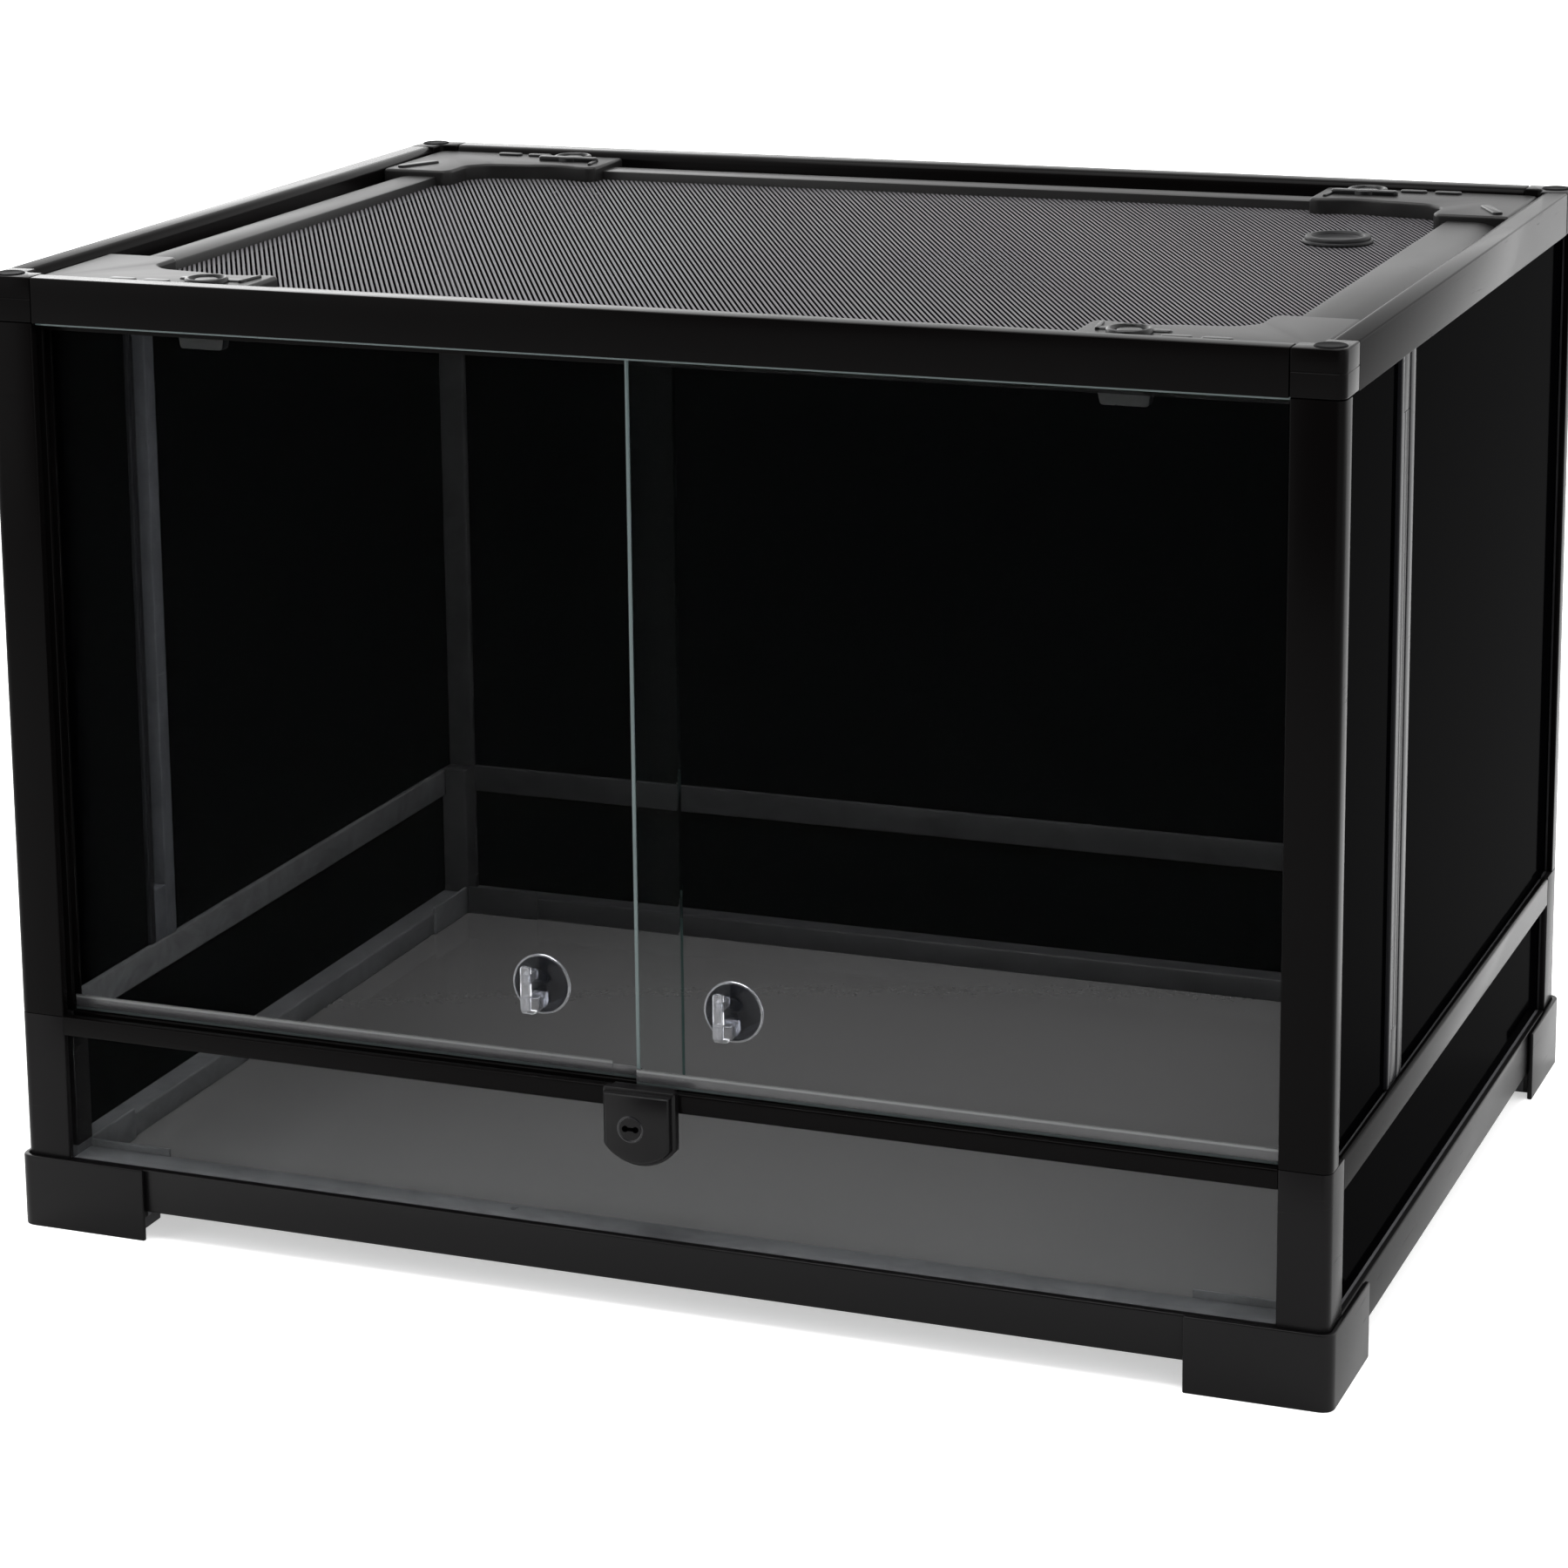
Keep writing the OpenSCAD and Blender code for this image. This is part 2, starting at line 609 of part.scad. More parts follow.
// Section of a lid rail of width w: flat inner half, rounded down to the outside,
// with a groove for the mesh.
module lid_section(w) {
    r = w - 3;
    flat = w * 0.45;
    difference() {
        intersection() {
            square([w, lid_rail_h]);
            union() {
                translate([w - flat, lid_rail_h - r]) circle(r, $fn = 128);
                translate([w - flat, 0]) square([flat, lid_rail_h]);
            }
        }
        translate([w - mesh_in - seat, mesh_z - lid_z - 0.1]) square([mesh_in + seat + eps, mesh_t + 0.2]);
    }
}
module lid_rail_long() {
    len = 2 * (lid_x - lid_arm_x);
    color("#1a1a1b") for (back = [0, 1]) mirror([0, back, 0])
        translate([-len / 2, -lid_y, lid_z]) rotate([90, 0, 90]) linear_extrude(len) lid_section(lid_rail_w);
}
module lid_rail_short() {
    len = 2 * (lid_y - lid_arm_y);
    color("#1a1a1b") for (right = [0, 1]) mirror([right, 0, 0])
        translate([-lid_x, len / 2, lid_z]) rotate([90, 0, 0]) linear_extrude(len) lid_section(lid_side_w);
}

// A raised oval on top of a lid corner, its middle given from the lid's corner.
// l is the length between the centres of its round ends.
module lid_oval(x, y, l, turn) {
    r = 2.4;
    translate([-lid_x + x, -lid_y + y, lid_top - eps]) rotate(turn) linear_extrude(eps + oval_h) {
        square([l, 2 * r], center = true);
        for (side = [-1, 1]) translate([side * l / 2, 0]) circle(r);
    }
}
// One L-shaped corner of the lid with the slot and pocket for its latch.
module lid_corner() {
    r = 5;
    scallop_r = 32;
    scallop_d = 4;
    disc = latch_disc_r + latch_play;
    difference() {
        translate([-lid_x, -lid_y, lid_z]) linear_extrude(lid_corner_h) {
            translate([r, 0]) square([lid_arm_x - r, lid_arm_dx]);
            translate([0, r]) square([lid_arm_dy, lid_arm_y - r]);
            translate([r, r]) circle(r);
        }
        // slot for the mesh along both inner edges
        span([-lid_x + lid_side_w - mesh_in - seat, -lid_y + lid_rail_w - mesh_in - seat, mesh_z - 0.1],
             [0, 0, mesh_z + mesh_t + 0.1]);
        // slot for the latch's stem
        span([-latch_x - stem_l / 2 - latch_play, -latch_y - stem_off - stem_t - latch_travel - latch_play, lid_z - eps],
             [-latch_x + stem_l / 2 + latch_play, -latch_y - stem_off + latch_play, lid_top + eps]);
        // pocket for the grip bar and its disc
        translate([-latch_x, -latch_y, lid_top - latch_pocket]) linear_extrude(latch_pocket + eps) {
            translate([-latch_bar_l / 2 - latch_play, bar_in - bar_t / 2 - latch_travel - latch_play])
                square([latch_bar_l + 2 * latch_play, bar_t + latch_travel + 2 * latch_play]);
            circle(disc);
            translate([0, -latch_travel]) circle(disc);
            translate([-disc, -latch_travel]) square([2 * disc, latch_travel]);
        }
        // finger scallop in the top of the inner edge
        translate([-latch_x, -lid_y + lid_arm_dx + scallop_r - scallop_d, lid_top - 4])
            cylinder(r = scallop_r, h = 4 + eps, $fn = 128);
    }
    lid_oval(58.5, 6.5, 8, 0);
    lid_oval(42, 6.5, 8, 0);
    lid_oval(11.5, 53, 20, 117);
}
module lid_corners() {
    color("#1c1c1d") for (sx = [-1, 1], sy = [-1, 1]) at_corner(sx, sy) lid_corner();
}

module lid_mesh() {
    x = lid_x - lid_side_w + mesh_in;
    y = lid_y - lid_rail_w + mesh_in;
    color("#5a5a60") difference() {
        span([-x, -y, mesh_z], [x, y, mesh_z + mesh_t]);
        translate([grommet_x, grommet_y, mesh_z - eps])
            cylinder(r = grommet_bore_r + 1.5 + seat / 3, h = mesh_t + 2 * eps);
    }
}
// A two-sided ring through the mesh, closed by a slit membrane.
module cable_grommet() {
    flange = 1.6;
    flange_top = 3.4;
    membrane = 0.8;
    color("#0d0d0e") translate([grommet_x, grommet_y, mesh_z]) difference() {
        union() {
            translate([0, 0, mesh_t + 0.1]) cylinder(r = grommet_r, h = flange);
            translate([0, 0, mesh_t + 0.1]) cylinder(r = grommet_r - 1, h = flange_top);
            translate([0, 0, -flange - 0.1]) cylinder(r = grommet_r - 2, h = flange);
            translate([0, 0, -flange]) cylinder(r = grommet_bore_r + 1.5, h = mesh_t + 2 * flange);
        }
        translate([0, 0, -flange - 0.1 + membrane]) cylinder(r = grommet_bore_r, h = mesh_t + 2 * flange + flange_top);
        translate([0, 0, -flange - eps]) for (a = [0, 60, 120]) rotate(a)
            span([-grommet_bore_r + 2, -0.2, 0], [grommet_bore_r - 2, 0.2, 2 * flange + eps]);
    }
}

// ---- latches ---------------------------------------------------------------

// A latch: grip bar and disc in the pocket, stem through the lid, hook below the ledge.
module latch() {
    z0 = lid_top - latch_pocket + seat;
    bar_h = 3.2;
    disc_h = 4;
    hook_top = top_z - 0.5;
    translate([-latch_x, -latch_y, 0]) {
        translate([0, bar_in, z0]) {
            span([-(latch_bar_l - bar_t) / 2, -bar_t / 2, 0], [(latch_bar_l - bar_t) / 2, bar_t / 2, bar_h]);
            for (side = [-1, 1]) translate([side * (latch_bar_l - bar_t) / 2, 0, 0]) cylinder(r = bar_t / 2, h = bar_h);
        }
        translate([0, 0, z0]) cylinder(r = latch_disc_r, h = disc_h);
        span([-stem_l / 2, -stem_off - stem_t, hook_top - eps], [stem_l / 2, -stem_off, z0 + eps]);
        // hook: a bar with sloping ends, its face towards the frame
        translate([0, -stem_off, hook_top - hook_h]) rotate([90, 0, 0]) linear_extrude(hook_t)
            polygon([[-hook_l / 2, hook_h], [hook_l / 2, hook_h], [hook_l / 2 - 3, 0], [-hook_l / 2 + 3, 0]]);
    }
}
module latch_at(sx, sy) { color("#1a1a1b") at_corner(sx, sy) latch(); }

// ---- parts -----------------------------------------------------------------

bottom_rail_front();
bottom_rail_back();
bottom_rail_left();
bottom_rail_right();
foot(-1, -1);  // foot_front_left
foot(1, -1);  // foot_front_right
foot(-1, 1);  // foot_back_left
foot(1, 1);  // foot_back_right
floor_panel();
lower_post(-1, -1);  // lower_post_front_left
lower_post(1, -1);  // lower_post_front_right
lower_post(-1, 1);  // lower_post_back_left
lower_post(1, 1);  // lower_post_back_right
lower_glass_front();
lower_glass_back();
lower_glass_left();
lower_glass_right();
mid_rail_left();
mid_rail_right();
mid_rail_back();
door_track_lower();
upper_post(-1, -1);  // upper_post_front_left
upper_post(1, -1);  // upper_post_front_right
upper_post(-1, 1);  // upper_post_back_left
upper_post(1, 1);  // upper_post_back_right
side_glass_left_front();
side_glass_left_rear();
side_glass_right_front();
side_glass_right_rear();
back_glass();
vent_bar_left();
vent_bar_right();
vent_mesh();
top_corner(-1, -1);  // top_corner_front_left
top_corner(1, -1);  // top_corner_front_right
top_corner(-1, 1);  // top_corner_back_left
top_corner(1, 1);  // top_corner_back_right
top_rail_front();
top_rail_back();
top_rail_left();
top_rail_right();
door_track_upper();
door_left();
door_right();
door_runner_left();
door_runner_right();
door_handle_left();
door_handle_right();
lock_housing();
lock_cylinder();
lid_rail_long();
lid_rail_short();
lid_corners();
lid_mesh();
cable_grommet();
latch_at(-1, -1);  // latch_front_left
latch_at(1, -1);  // latch_front_right
latch_at(-1, 1);  // latch_back_left
latch_at(1, 1);  // latch_back_right
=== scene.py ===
"""Dresses the glass terrarium: moulded frame, glass, lid, latches, handles, lock, stage and camera."""

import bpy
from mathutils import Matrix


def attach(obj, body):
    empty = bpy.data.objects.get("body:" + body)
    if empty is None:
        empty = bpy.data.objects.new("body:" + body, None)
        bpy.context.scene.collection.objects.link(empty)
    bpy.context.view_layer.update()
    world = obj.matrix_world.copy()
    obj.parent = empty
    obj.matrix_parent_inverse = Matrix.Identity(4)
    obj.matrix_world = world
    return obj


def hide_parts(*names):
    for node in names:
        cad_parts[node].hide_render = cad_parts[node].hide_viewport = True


bl_info = {
    "name": "Glass terrarium",
    "version": (1, 0, 0),
    "blender": (4, 5, 0),
    "location": "3D View > Sidebar > Terrarium",
    "description": "Builds the visible pieces of a sliding door glass terrarium over its packed frame",
    "category": "Object",
}

import math

import bmesh
import bpy
import numpy as np
from mathutils import Matrix

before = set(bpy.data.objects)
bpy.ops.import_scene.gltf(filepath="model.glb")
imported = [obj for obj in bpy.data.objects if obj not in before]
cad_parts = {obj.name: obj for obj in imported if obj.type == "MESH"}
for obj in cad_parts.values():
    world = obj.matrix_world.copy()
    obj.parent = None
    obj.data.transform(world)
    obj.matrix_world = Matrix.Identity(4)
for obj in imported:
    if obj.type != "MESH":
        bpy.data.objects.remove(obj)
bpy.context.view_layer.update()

MM = 0.001
# the enclosure in millimetres: half its width and depth, its levels, and the widths of its members
HALF_W = 300.0
HALF_D = 225.0
TOP = 435.0
TOP_Z = TOP - 20.0
MID_Z = 100.5
BASE_Z = 13.0
BASE_TOP = 33.0
POST = 22.0
CORNER = 22.0
JOINT = 0.1
CORNERS = ((-1, -1, "front_left"), (1, -1, "front_right"), (-1, 1, "back_left"), (1, 1, "back_right"))
# from the outside inwards: the edges of a pane's groove and of both door channels, and the tracks' depth
PANE_GROOVE = (3.8, 8.2)
DOOR_CHANNELS = (4.6, 9.4, 11.6, 16.4)
TRACK = 18.0
GROOVE = 5.0  # how deep the posts' grooves are cut
# the lid's half width and half depth, its underside and top, its mesh, and the latches' place
LID_X = 285.5
LID_Y = 210.5
LID_Z = 421.3
LID_TOP = LID_Z + 11.0
MESH_Z = LID_Z + 2.8
LATCH_X = 206.0
LATCH_Y = 198.0
ARM_X = 102.0  # the arms of the lid's corner pieces
ARM_Y = 70.0


# --- numpy surfaces


def arc(cx, cy, r, a0, a1, n):
    """Points on a circle: centre plus r times cosine and sine, for n angles from a0 to a1 in degrees."""
    a = np.radians(np.linspace(a0, a1, n))
    return np.stack([cx + r * np.cos(a), cy + r * np.sin(a)], 1)


def fillet(points, radii, n):
    """A polygon with round corners. Each corner is a quadratic curve from the point at distance r before it
    to the point at distance r after it. Its middle control point lies a little inside the corner."""
    p = np.asarray(points, float)
    r = np.broadcast_to(radii, len(p))
    out = []
    t = np.linspace(0, 1, n)[:, None]
    for i in range(len(p)):
        prev, here, after = p[i - 1], p[i], p[(i + 1) % len(p)]
        if r[i] <= 0:
            out.append(here[None])
            continue
        a = here + (prev - here) / np.linalg.norm(prev - here) * r[i]
        b = here + (after - here) / np.linalg.norm(after - here) * r[i]
        c = here + ((a + b) / 2 - here) * 0.17
        out.append((1 - t) ** 2 * a + 2 * t * (1 - t) * c + t**2 * b)
    return np.concatenate(out)


def inset(profile, d):
    """A closed profile moved inwards by d along the mean of each point's two edge normals. Points that the
    move takes past each other, at a corner rounder than d allows, are drawn together to their mean."""
    p = np.asarray(profile, float)
    e1 = p - np.roll(p, 1, 0)
    e2 = np.roll(p, -1, 0) - p
    area = np.sum(p[:, 0] * np.roll(p[:, 1], -1) - np.roll(p[:, 0], -1) * p[:, 1])
    turn = 1.0 if area > 0 else -1.0
    n1 = np.stack([-e1[:, 1], e1[:, 0]], 1) / np.maximum(np.linalg.norm(e1, axis=1), 1e-9)[:, None]
    n2 = np.stack([-e2[:, 1], e2[:, 0]], 1) / np.maximum(np.linalg.norm(e2, axis=1), 1e-9)[:, None]
    n = n1 + n2
    n /= np.maximum(np.linalg.norm(n, axis=1), 0.4)[:, None]
    k = 1.0 / np.maximum(np.sum(n * n1, axis=1), 0.5)
    q = p + n * (turn * d * k)[:, None]
    ahead = np.sum((np.roll(q, -1, 0) - q) * e2, axis=1) > 0
    run = np.concatenate([[0], np.cumsum(ahead[:-1])])
    if not ahead[-1]:
        run[run == run[-1]] = 0
    count = np.maximum(np.bincount(run), 1)
    middle = np.stack([np.bincount(run, q[:, i]) / count for i in range(2)], 1)
    return middle[run]


def loft(rings):
    """A surface through rings of equal length: quads between neighbouring rings, and a flat cap at each
    end."""
    r = np.asarray(rings, float)
    m, n = r.shape[:2]
    idx = np.arange(m * n).reshape(m, n)
    a, b = idx[:-1], idx[1:]
    faces = np.stack([a, np.roll(a, -1, 1), np.roll(b, -1, 1), b], -1).reshape(-1, 4).tolist()
    return r.reshape(-1, 3), faces + [idx[0][::-1].tolist(), idx[-1].tolist()]


def bar(profile, axis, a, b, bevel=0.35, steps=3, grooves=()):
    """A profile carried along an axis from a to b. Its ends are rounded by a quarter circle of radius bevel,
    and each groove (place, half width, depth) insets the profile there. The profile's two columns are the
    other two axes in the order x, y, z."""
    t = np.linspace(0, math.pi / 2, steps)
    back, deep = bevel * (1 - np.sin(t)), bevel * (1 - np.cos(t))
    places, depths = [*(a + back[::-1]), *(b - back)], [*deep[::-1], *deep]
    if bevel <= 0:
        places, depths = [a, b], [0, 0]
    for g, w, d in grooves:
        places += [g - w, g - w * 0.6, g + w * 0.6, g + w]
        depths += [0, d, d, 0]
    order = np.argsort(places, kind="stable")
    rings = []
    for i in order:
        q = inset(profile, depths[i]) if depths[i] else np.asarray(profile, float)
        ring = np.empty((len(q), 3))
        ring[:, axis] = places[i]
        ring[:, [k for k in range(3) if k != axis]] = q
        rings.append(ring)
    return loft(rings)


def spin(profile, centre, axis, n):
    """A surface of revolution: each profile point (radius, height) turned once about an axis through centre.
    Points of radius zero become the poles."""
    p = np.asarray(profile, float)
    a = np.linspace(0, 2 * math.pi, n, endpoint=False)
    u, v = (k for k in range(3) if k != axis)
    rings = np.empty((len(p), n, 3))
    rings[:, :, u] = centre[u] + p[:, :1] * np.cos(a)
    rings[:, :, v] = centre[v] + p[:, :1] * np.sin(a)
    rings[:, :, axis] = centre[axis] + p[:, 1:2]
    return loft(rings)


def rect(u0, v0, u1, v1):
    """The corners of a rectangle, in order."""
    return [(u0, v0), (u1, v0), (u1, v1), (u0, v1)]


def block(lo, hi, r, axis, n=4):
    """A box with all edges rounded: a rounded rectangle carried along an axis with rounded ends."""
    other = [k for k in range(3) if k != axis]
    profile = fillet(rect(*(lo[k] for k in other), *(hi[k] for k in other)), r, n)
    return bar(profile, axis, lo[axis], hi[axis], bevel=r * 0.7, steps=n)


def mirrored(parts, sx, sy=1):
    """Parts flipped in x and y, for the matching place in another corner."""
    return [(v * np.array([sx, sy, 1.0]), f) for v, f in parts]


def turned(part, degrees, centre):
    """A part turned about the vertical through a point."""
    m = np.array(Matrix.Rotation(math.radians(degrees), 3, "Z"))
    return (part[0] - centre) @ m.T + centre, part[1]


def make(name, parts, finish, replaces=(), body="enclosure", smooth=40):
    """One mesh object from parts given in millimetres. It rides a body, and may replace CAD nodes."""
    verts, faces, base = [], [], 0
    for v, f in parts:
        verts.append(np.asarray(v, float) * MM)
        faces += [[i + base for i in face] for face in f]
        base += len(v)
    mesh = bpy.data.meshes.new(name)
    mesh.from_pydata(np.concatenate(verts).tolist(), [], faces)
    bm = bmesh.new()
    bm.from_mesh(mesh)
    bmesh.ops.remove_doubles(bm, verts=bm.verts, dist=1e-7)
    bmesh.ops.dissolve_degenerate(bm, edges=bm.edges, dist=1e-7)
    bmesh.ops.recalc_face_normals(bm, faces=bm.faces)
    bm.to_mesh(mesh)
    bm.free()
    mesh.polygons.foreach_set("use_smooth", np.ones(len(mesh.polygons), bool))
    mesh.set_sharp_from_angle(angle=math.radians(smooth))
    mesh.materials.append(finish_named(finish))
    obj = bpy.data.objects.new(name, mesh)
    bpy.context.scene.collection.objects.link(obj)
    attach(obj, body)
    if replaces:
        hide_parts(*replaces)


# --- materials


WHITE = (1, 1, 1, 1)


class Nodes:
    """Adds nodes to one shader tree. An input is given as a value, or as the output that feeds it."""

    def __init__(self, tree):
        self.tree = tree

    def feed(self, node, inputs):
        """Sets or wires inputs of a node, by name or number."""
        for key, value in inputs.items():
            if isinstance(value, bpy.types.NodeSocket):
                self.tree.links.new(value, node.inputs[key])
            else:
                node.inputs[key].default_value = value

    def add(self, kind, inputs=None, **settings):
        """A node of a kind, with its settings first and then its inputs."""
        node = self.tree.nodes.new("ShaderNode" + kind)
        for key, value in settings.items():
            setattr(node, key, value)
        self.feed(node, inputs or {})
        return node

    def place(self):
        """Object coordinates."""
        return self.add("TexCoord").outputs["Object"]

    def axes(self, vector=None):
        """The three parts of a vector, or of the object coordinates."""
        return self.add("SeparateXYZ", {0: self.place() if vector is None else vector}).outputs

    def math(self, operation, *values):
        return self.add("Math", dict(enumerate(values)), operation=operation).outputs[0]

    def remap(self, value, start, end, low=0.0, high=1.0, smooth=False):
        """A value carried from the range start to end into the range low to high, and held at its ends."""
        limits = {"Value": value, "From Min": start, "From Max": end, "To Min": low, "To Max": high}
        kind = "SMOOTHSTEP" if smooth else "LINEAR"
        return self.add("MapRange", limits, interpolation_type=kind).outputs[0]

    def noise(self, scale, detail=2.0, roughness=0.5, distortion=0.0, vector=None):
        """Noise over a vector, or over the object coordinates."""
        inputs = {"Vector": self.place() if vector is None else vector, "Scale": scale, "Detail": detail,
                  "Roughness": roughness, "Distortion": distortion}
        return self.add("TexNoise", inputs).outputs["Fac"]

    def blend(self, factor, a, b):
        """A colour from a to b. Each is red, green and blue, or an output."""
        mix = self.add("Mix", {"Factor": factor}, data_type="RGBA")
        for key, colour in (("A", a), ("B", b)):
            self.feed(mix, {key: colour if isinstance(colour, bpy.types.NodeSocket) else (*colour, 1)})
        return mix.outputs["Result"]

    def bump(self, shader, height, strength, distance):
        """Bends a shader's normal by a height."""
        node = self.add("Bump", {"Height": height, "Strength": strength, "Distance": distance})
        self.feed(shader, {"Normal": node.outputs["Normal"]})

    def surface(self, factor, shader, other):
        """Makes a mix of two shaders the surface that is rendered."""
        mix = self.add("MixShader", {0: factor, 1: shader.outputs[0], 2: other.outputs[0]})
        output = next(node for node in self.tree.nodes if node.bl_idname.startswith("ShaderNodeOutput"))
        self.feed(output, {"Surface": mix.outputs[0]})


def group(name, inputs, outputs):
    """A new shader node group with float inputs (name: default) and float outputs, and its two end nodes."""
    g = bpy.data.node_groups.new(name, "ShaderNodeTree")
    for label, value in inputs.items():
        g.interface.new_socket(label, in_out="INPUT", socket_type="NodeSocketFloat").default_value = value
    for label in outputs:
        g.interface.new_socket(label, in_out="OUTPUT", socket_type="NodeSocketFloat")
    return g, g.nodes.new("NodeGroupInput").outputs, g.nodes.new("NodeGroupOutput")


def moulding_group():
    """Moulded plastic: a fine eggshell grain in the height, broad flow marks and rare fine scratches in the
    roughness, and a little dust in the colour. Heights and masks read object coordinates."""
    if "moulding" in bpy.data.node_groups:
        return bpy.data.node_groups["moulding"]
    g, given, out = group("moulding", {"Grain": 900.0, "Roughness": 0.35, "Spread": 0.08},
                          ("Height", "Roughness", "Dust"))
    n = Nodes(g)
    place = n.place()
    grain = n.noise(given["Grain"], detail=3, vector=place)
    flow = n.noise(9, detail=6, vector=place)
    stretched = n.add("Mapping", {"Vector": place, "Scale": (1, 1, 14)}).outputs["Vector"]
    scratch = n.remap(n.noise(14, detail=8, distortion=2.5, vector=stretched), 0.66, 0.74)
    spread = n.math("MULTIPLY_ADD", n.math("SUBTRACT", flow, 0.5), given["Spread"], given["Roughness"])
    rough = n.math("MULTIPLY_ADD", scratch, 0.10, spread)
    n.feed(out, {"Height": grain, "Roughness": rough, "Dust": flow})
    return g


def inside_light_group():
    """Mask of the painted light on faces that look into the chamber, which stands in for the light inside it:
    inside the glass and under the top frame, behind the front posts or low on the feet, dimmer at the back
    as painted shade, and broken up by long streaks of painted sheen."""
    if "inside_light_mask" in bpy.data.node_groups:
        return bpy.data.node_groups["inside_light_mask"]
    g, _, out = group("inside_light_mask", {}, ("Mask",))
    n = Nodes(g)
    x, y, z = n.axes()
    mask, deep = (n.remap(n.math("ABSOLUTE", axis), limit - 0.0004, limit, 1.0, 0.0, smooth=True)
                  for axis, limit in ((x, 0.2975), (y, 0.2215)))
    behind_posts = n.remap(y, -0.2004, -0.2)
    on_feet = n.math("LESS_THAN", z, 0.037)
    below_top = n.remap(z, 0.4152, 0.4148)
    # painted shade: the back faces get only part of the painted light
    back_shade = n.remap(y, 0.2, 0.203, 1.0, 0.27)
    # painted sheen: long noise streaks break up the painted light
    streaked_sheen = n.remap(n.noise(34, detail=9, roughness=0.72, distortion=1.6), 0.3, 0.75, 0.55, 1.0)
    for factor in (deep, n.math("MAXIMUM", on_feet, behind_posts), below_top, back_shade, streaked_sheen):
        mask = n.math("MULTIPLY", mask, factor)
    n.feed(out, {"Mask": mask})
    return g


def new_material(name):
    """A material, the helper for its nodes, and its main shader."""
    m = bpy.data.materials.new(name)
    m.use_nodes = True
    return m, Nodes(m.node_tree), m.node_tree.nodes["Principled BSDF"]


def plastic(name, colour, roughness, grain, specular, lit_inside_colour=None):
    """Satin moulded plastic: the moulding group drives roughness, a fine bump and a slight change of grey.
    Faces that look into the chamber may take another, lighter colour: painted light for the light inside it."""
    m, n, shader = new_material(name)
    given = {"Grain": grain, "Roughness": roughness, "Spread": 0.12}
    mould = n.add("Group", given, node_tree=moulding_group())
    n.bump(shader, mould.outputs["Height"], 0.35, 0.00002)
    base = n.blend(mould.outputs["Dust"], colour, [1.15 * c for c in colour])
    # painted light: faces that look into the chamber take the lighter colour
    if lit_inside_colour:
        base = n.blend(n.add("Group", node_tree=inside_light_group()).outputs["Mask"], base, lit_inside_colour)
    n.feed(shader, {"Base Color": base, "Roughness": mould.outputs["Roughness"],
                    "Specular IOR Level": specular, "IOR": 1.5})
    return m


def black_glass(name):
    """Float glass painted black behind: a near black body under a smooth weak gloss, with faint smears."""
    m, n, shader = new_material(name)
    n.feed(shader, {"Roughness": n.remap(n.noise(7, detail=5), 0.0, 1.0, 0.03, 0.10),
                    "Base Color": (0.0003, 0.0003, 0.0004, 1), "Specular IOR Level": 0.5, "IOR": 1.007})
    return m


def clear_glass(name):
    """Clear float glass. Faces cut across the sheet are sea green, and shadows pass through it."""
    m, n, shader = new_material(name)
    facing = n.math("ABSOLUTE", n.axes(n.add("NewGeometry").outputs["True Normal"])["Y"])
    n.feed(shader, {"Base Color": n.blend(facing, (0.10, 0.30, 0.26), (0.97, 0.99, 0.985)),
                    "Transmission Weight": 1.0, "Roughness": 0.0, "IOR": 1.045})
    clear = n.add("BsdfTransparent", {"Color": (0.93, 0.95, 0.945, 1)})
    n.surface(n.add("LightPath").outputs["Is Shadow Ray"], shader, clear)
    return m


def floor_glass(name, colour):
    """The floor panel: grey underside seen through smooth glass, with faint fine dust."""
    m, n, shader = new_material(name)
    base = n.blend(n.noise(260, detail=4), colour, [c + 0.004 for c in colour])
    n.feed(shader, {"Base Color": base, "Roughness": 0.06, "Specular IOR Level": 0.5})
    return m


def runner_plastic(name):
    """Clear strip on the foot of a door: a thin grey veil with a pale upper edge and a sea green lower edge,
    by height above the lower track. Both edges are lighter than the veil as painted highlights; the lower one
    takes the sea green of a glass edge."""
    m, n, shader = new_material(name)
    height = n.remap(n.axes()["Z"], 0.1008, 0.1078)
    # painted highlights: the strip's lower and upper edges are lighter than its veil
    green, pale = ((0.055, 0.065, 0.065), 0.9), ((0.11, 0.115, 0.115), 0.9)
    stops = ((0.0, *green), (0.16, *green), (0.24, (0.040, 0.040, 0.042), 0.8),
             (0.74, (0.046, 0.046, 0.048), 0.8), (0.82, *pale), (0.9, *pale), (1.0, (0.08, 0.08, 0.08), 0.3))
    for socket in ("Base Color", "Alpha"):
        ramp = n.add("ValToRGB", {"Fac": height})
        while len(ramp.color_ramp.elements) < len(stops):
            ramp.color_ramp.elements.new(0.5)
        for element, (at, colour, alpha) in zip(ramp.color_ramp.elements, stops):
            element.position = at
            element.color = (alpha, alpha, alpha, 1) if socket == "Alpha" else (*colour, 1)
        n.feed(shader, {socket: ramp.outputs["Color"]})
    n.feed(shader, {"Roughness": 0.25})
    return m


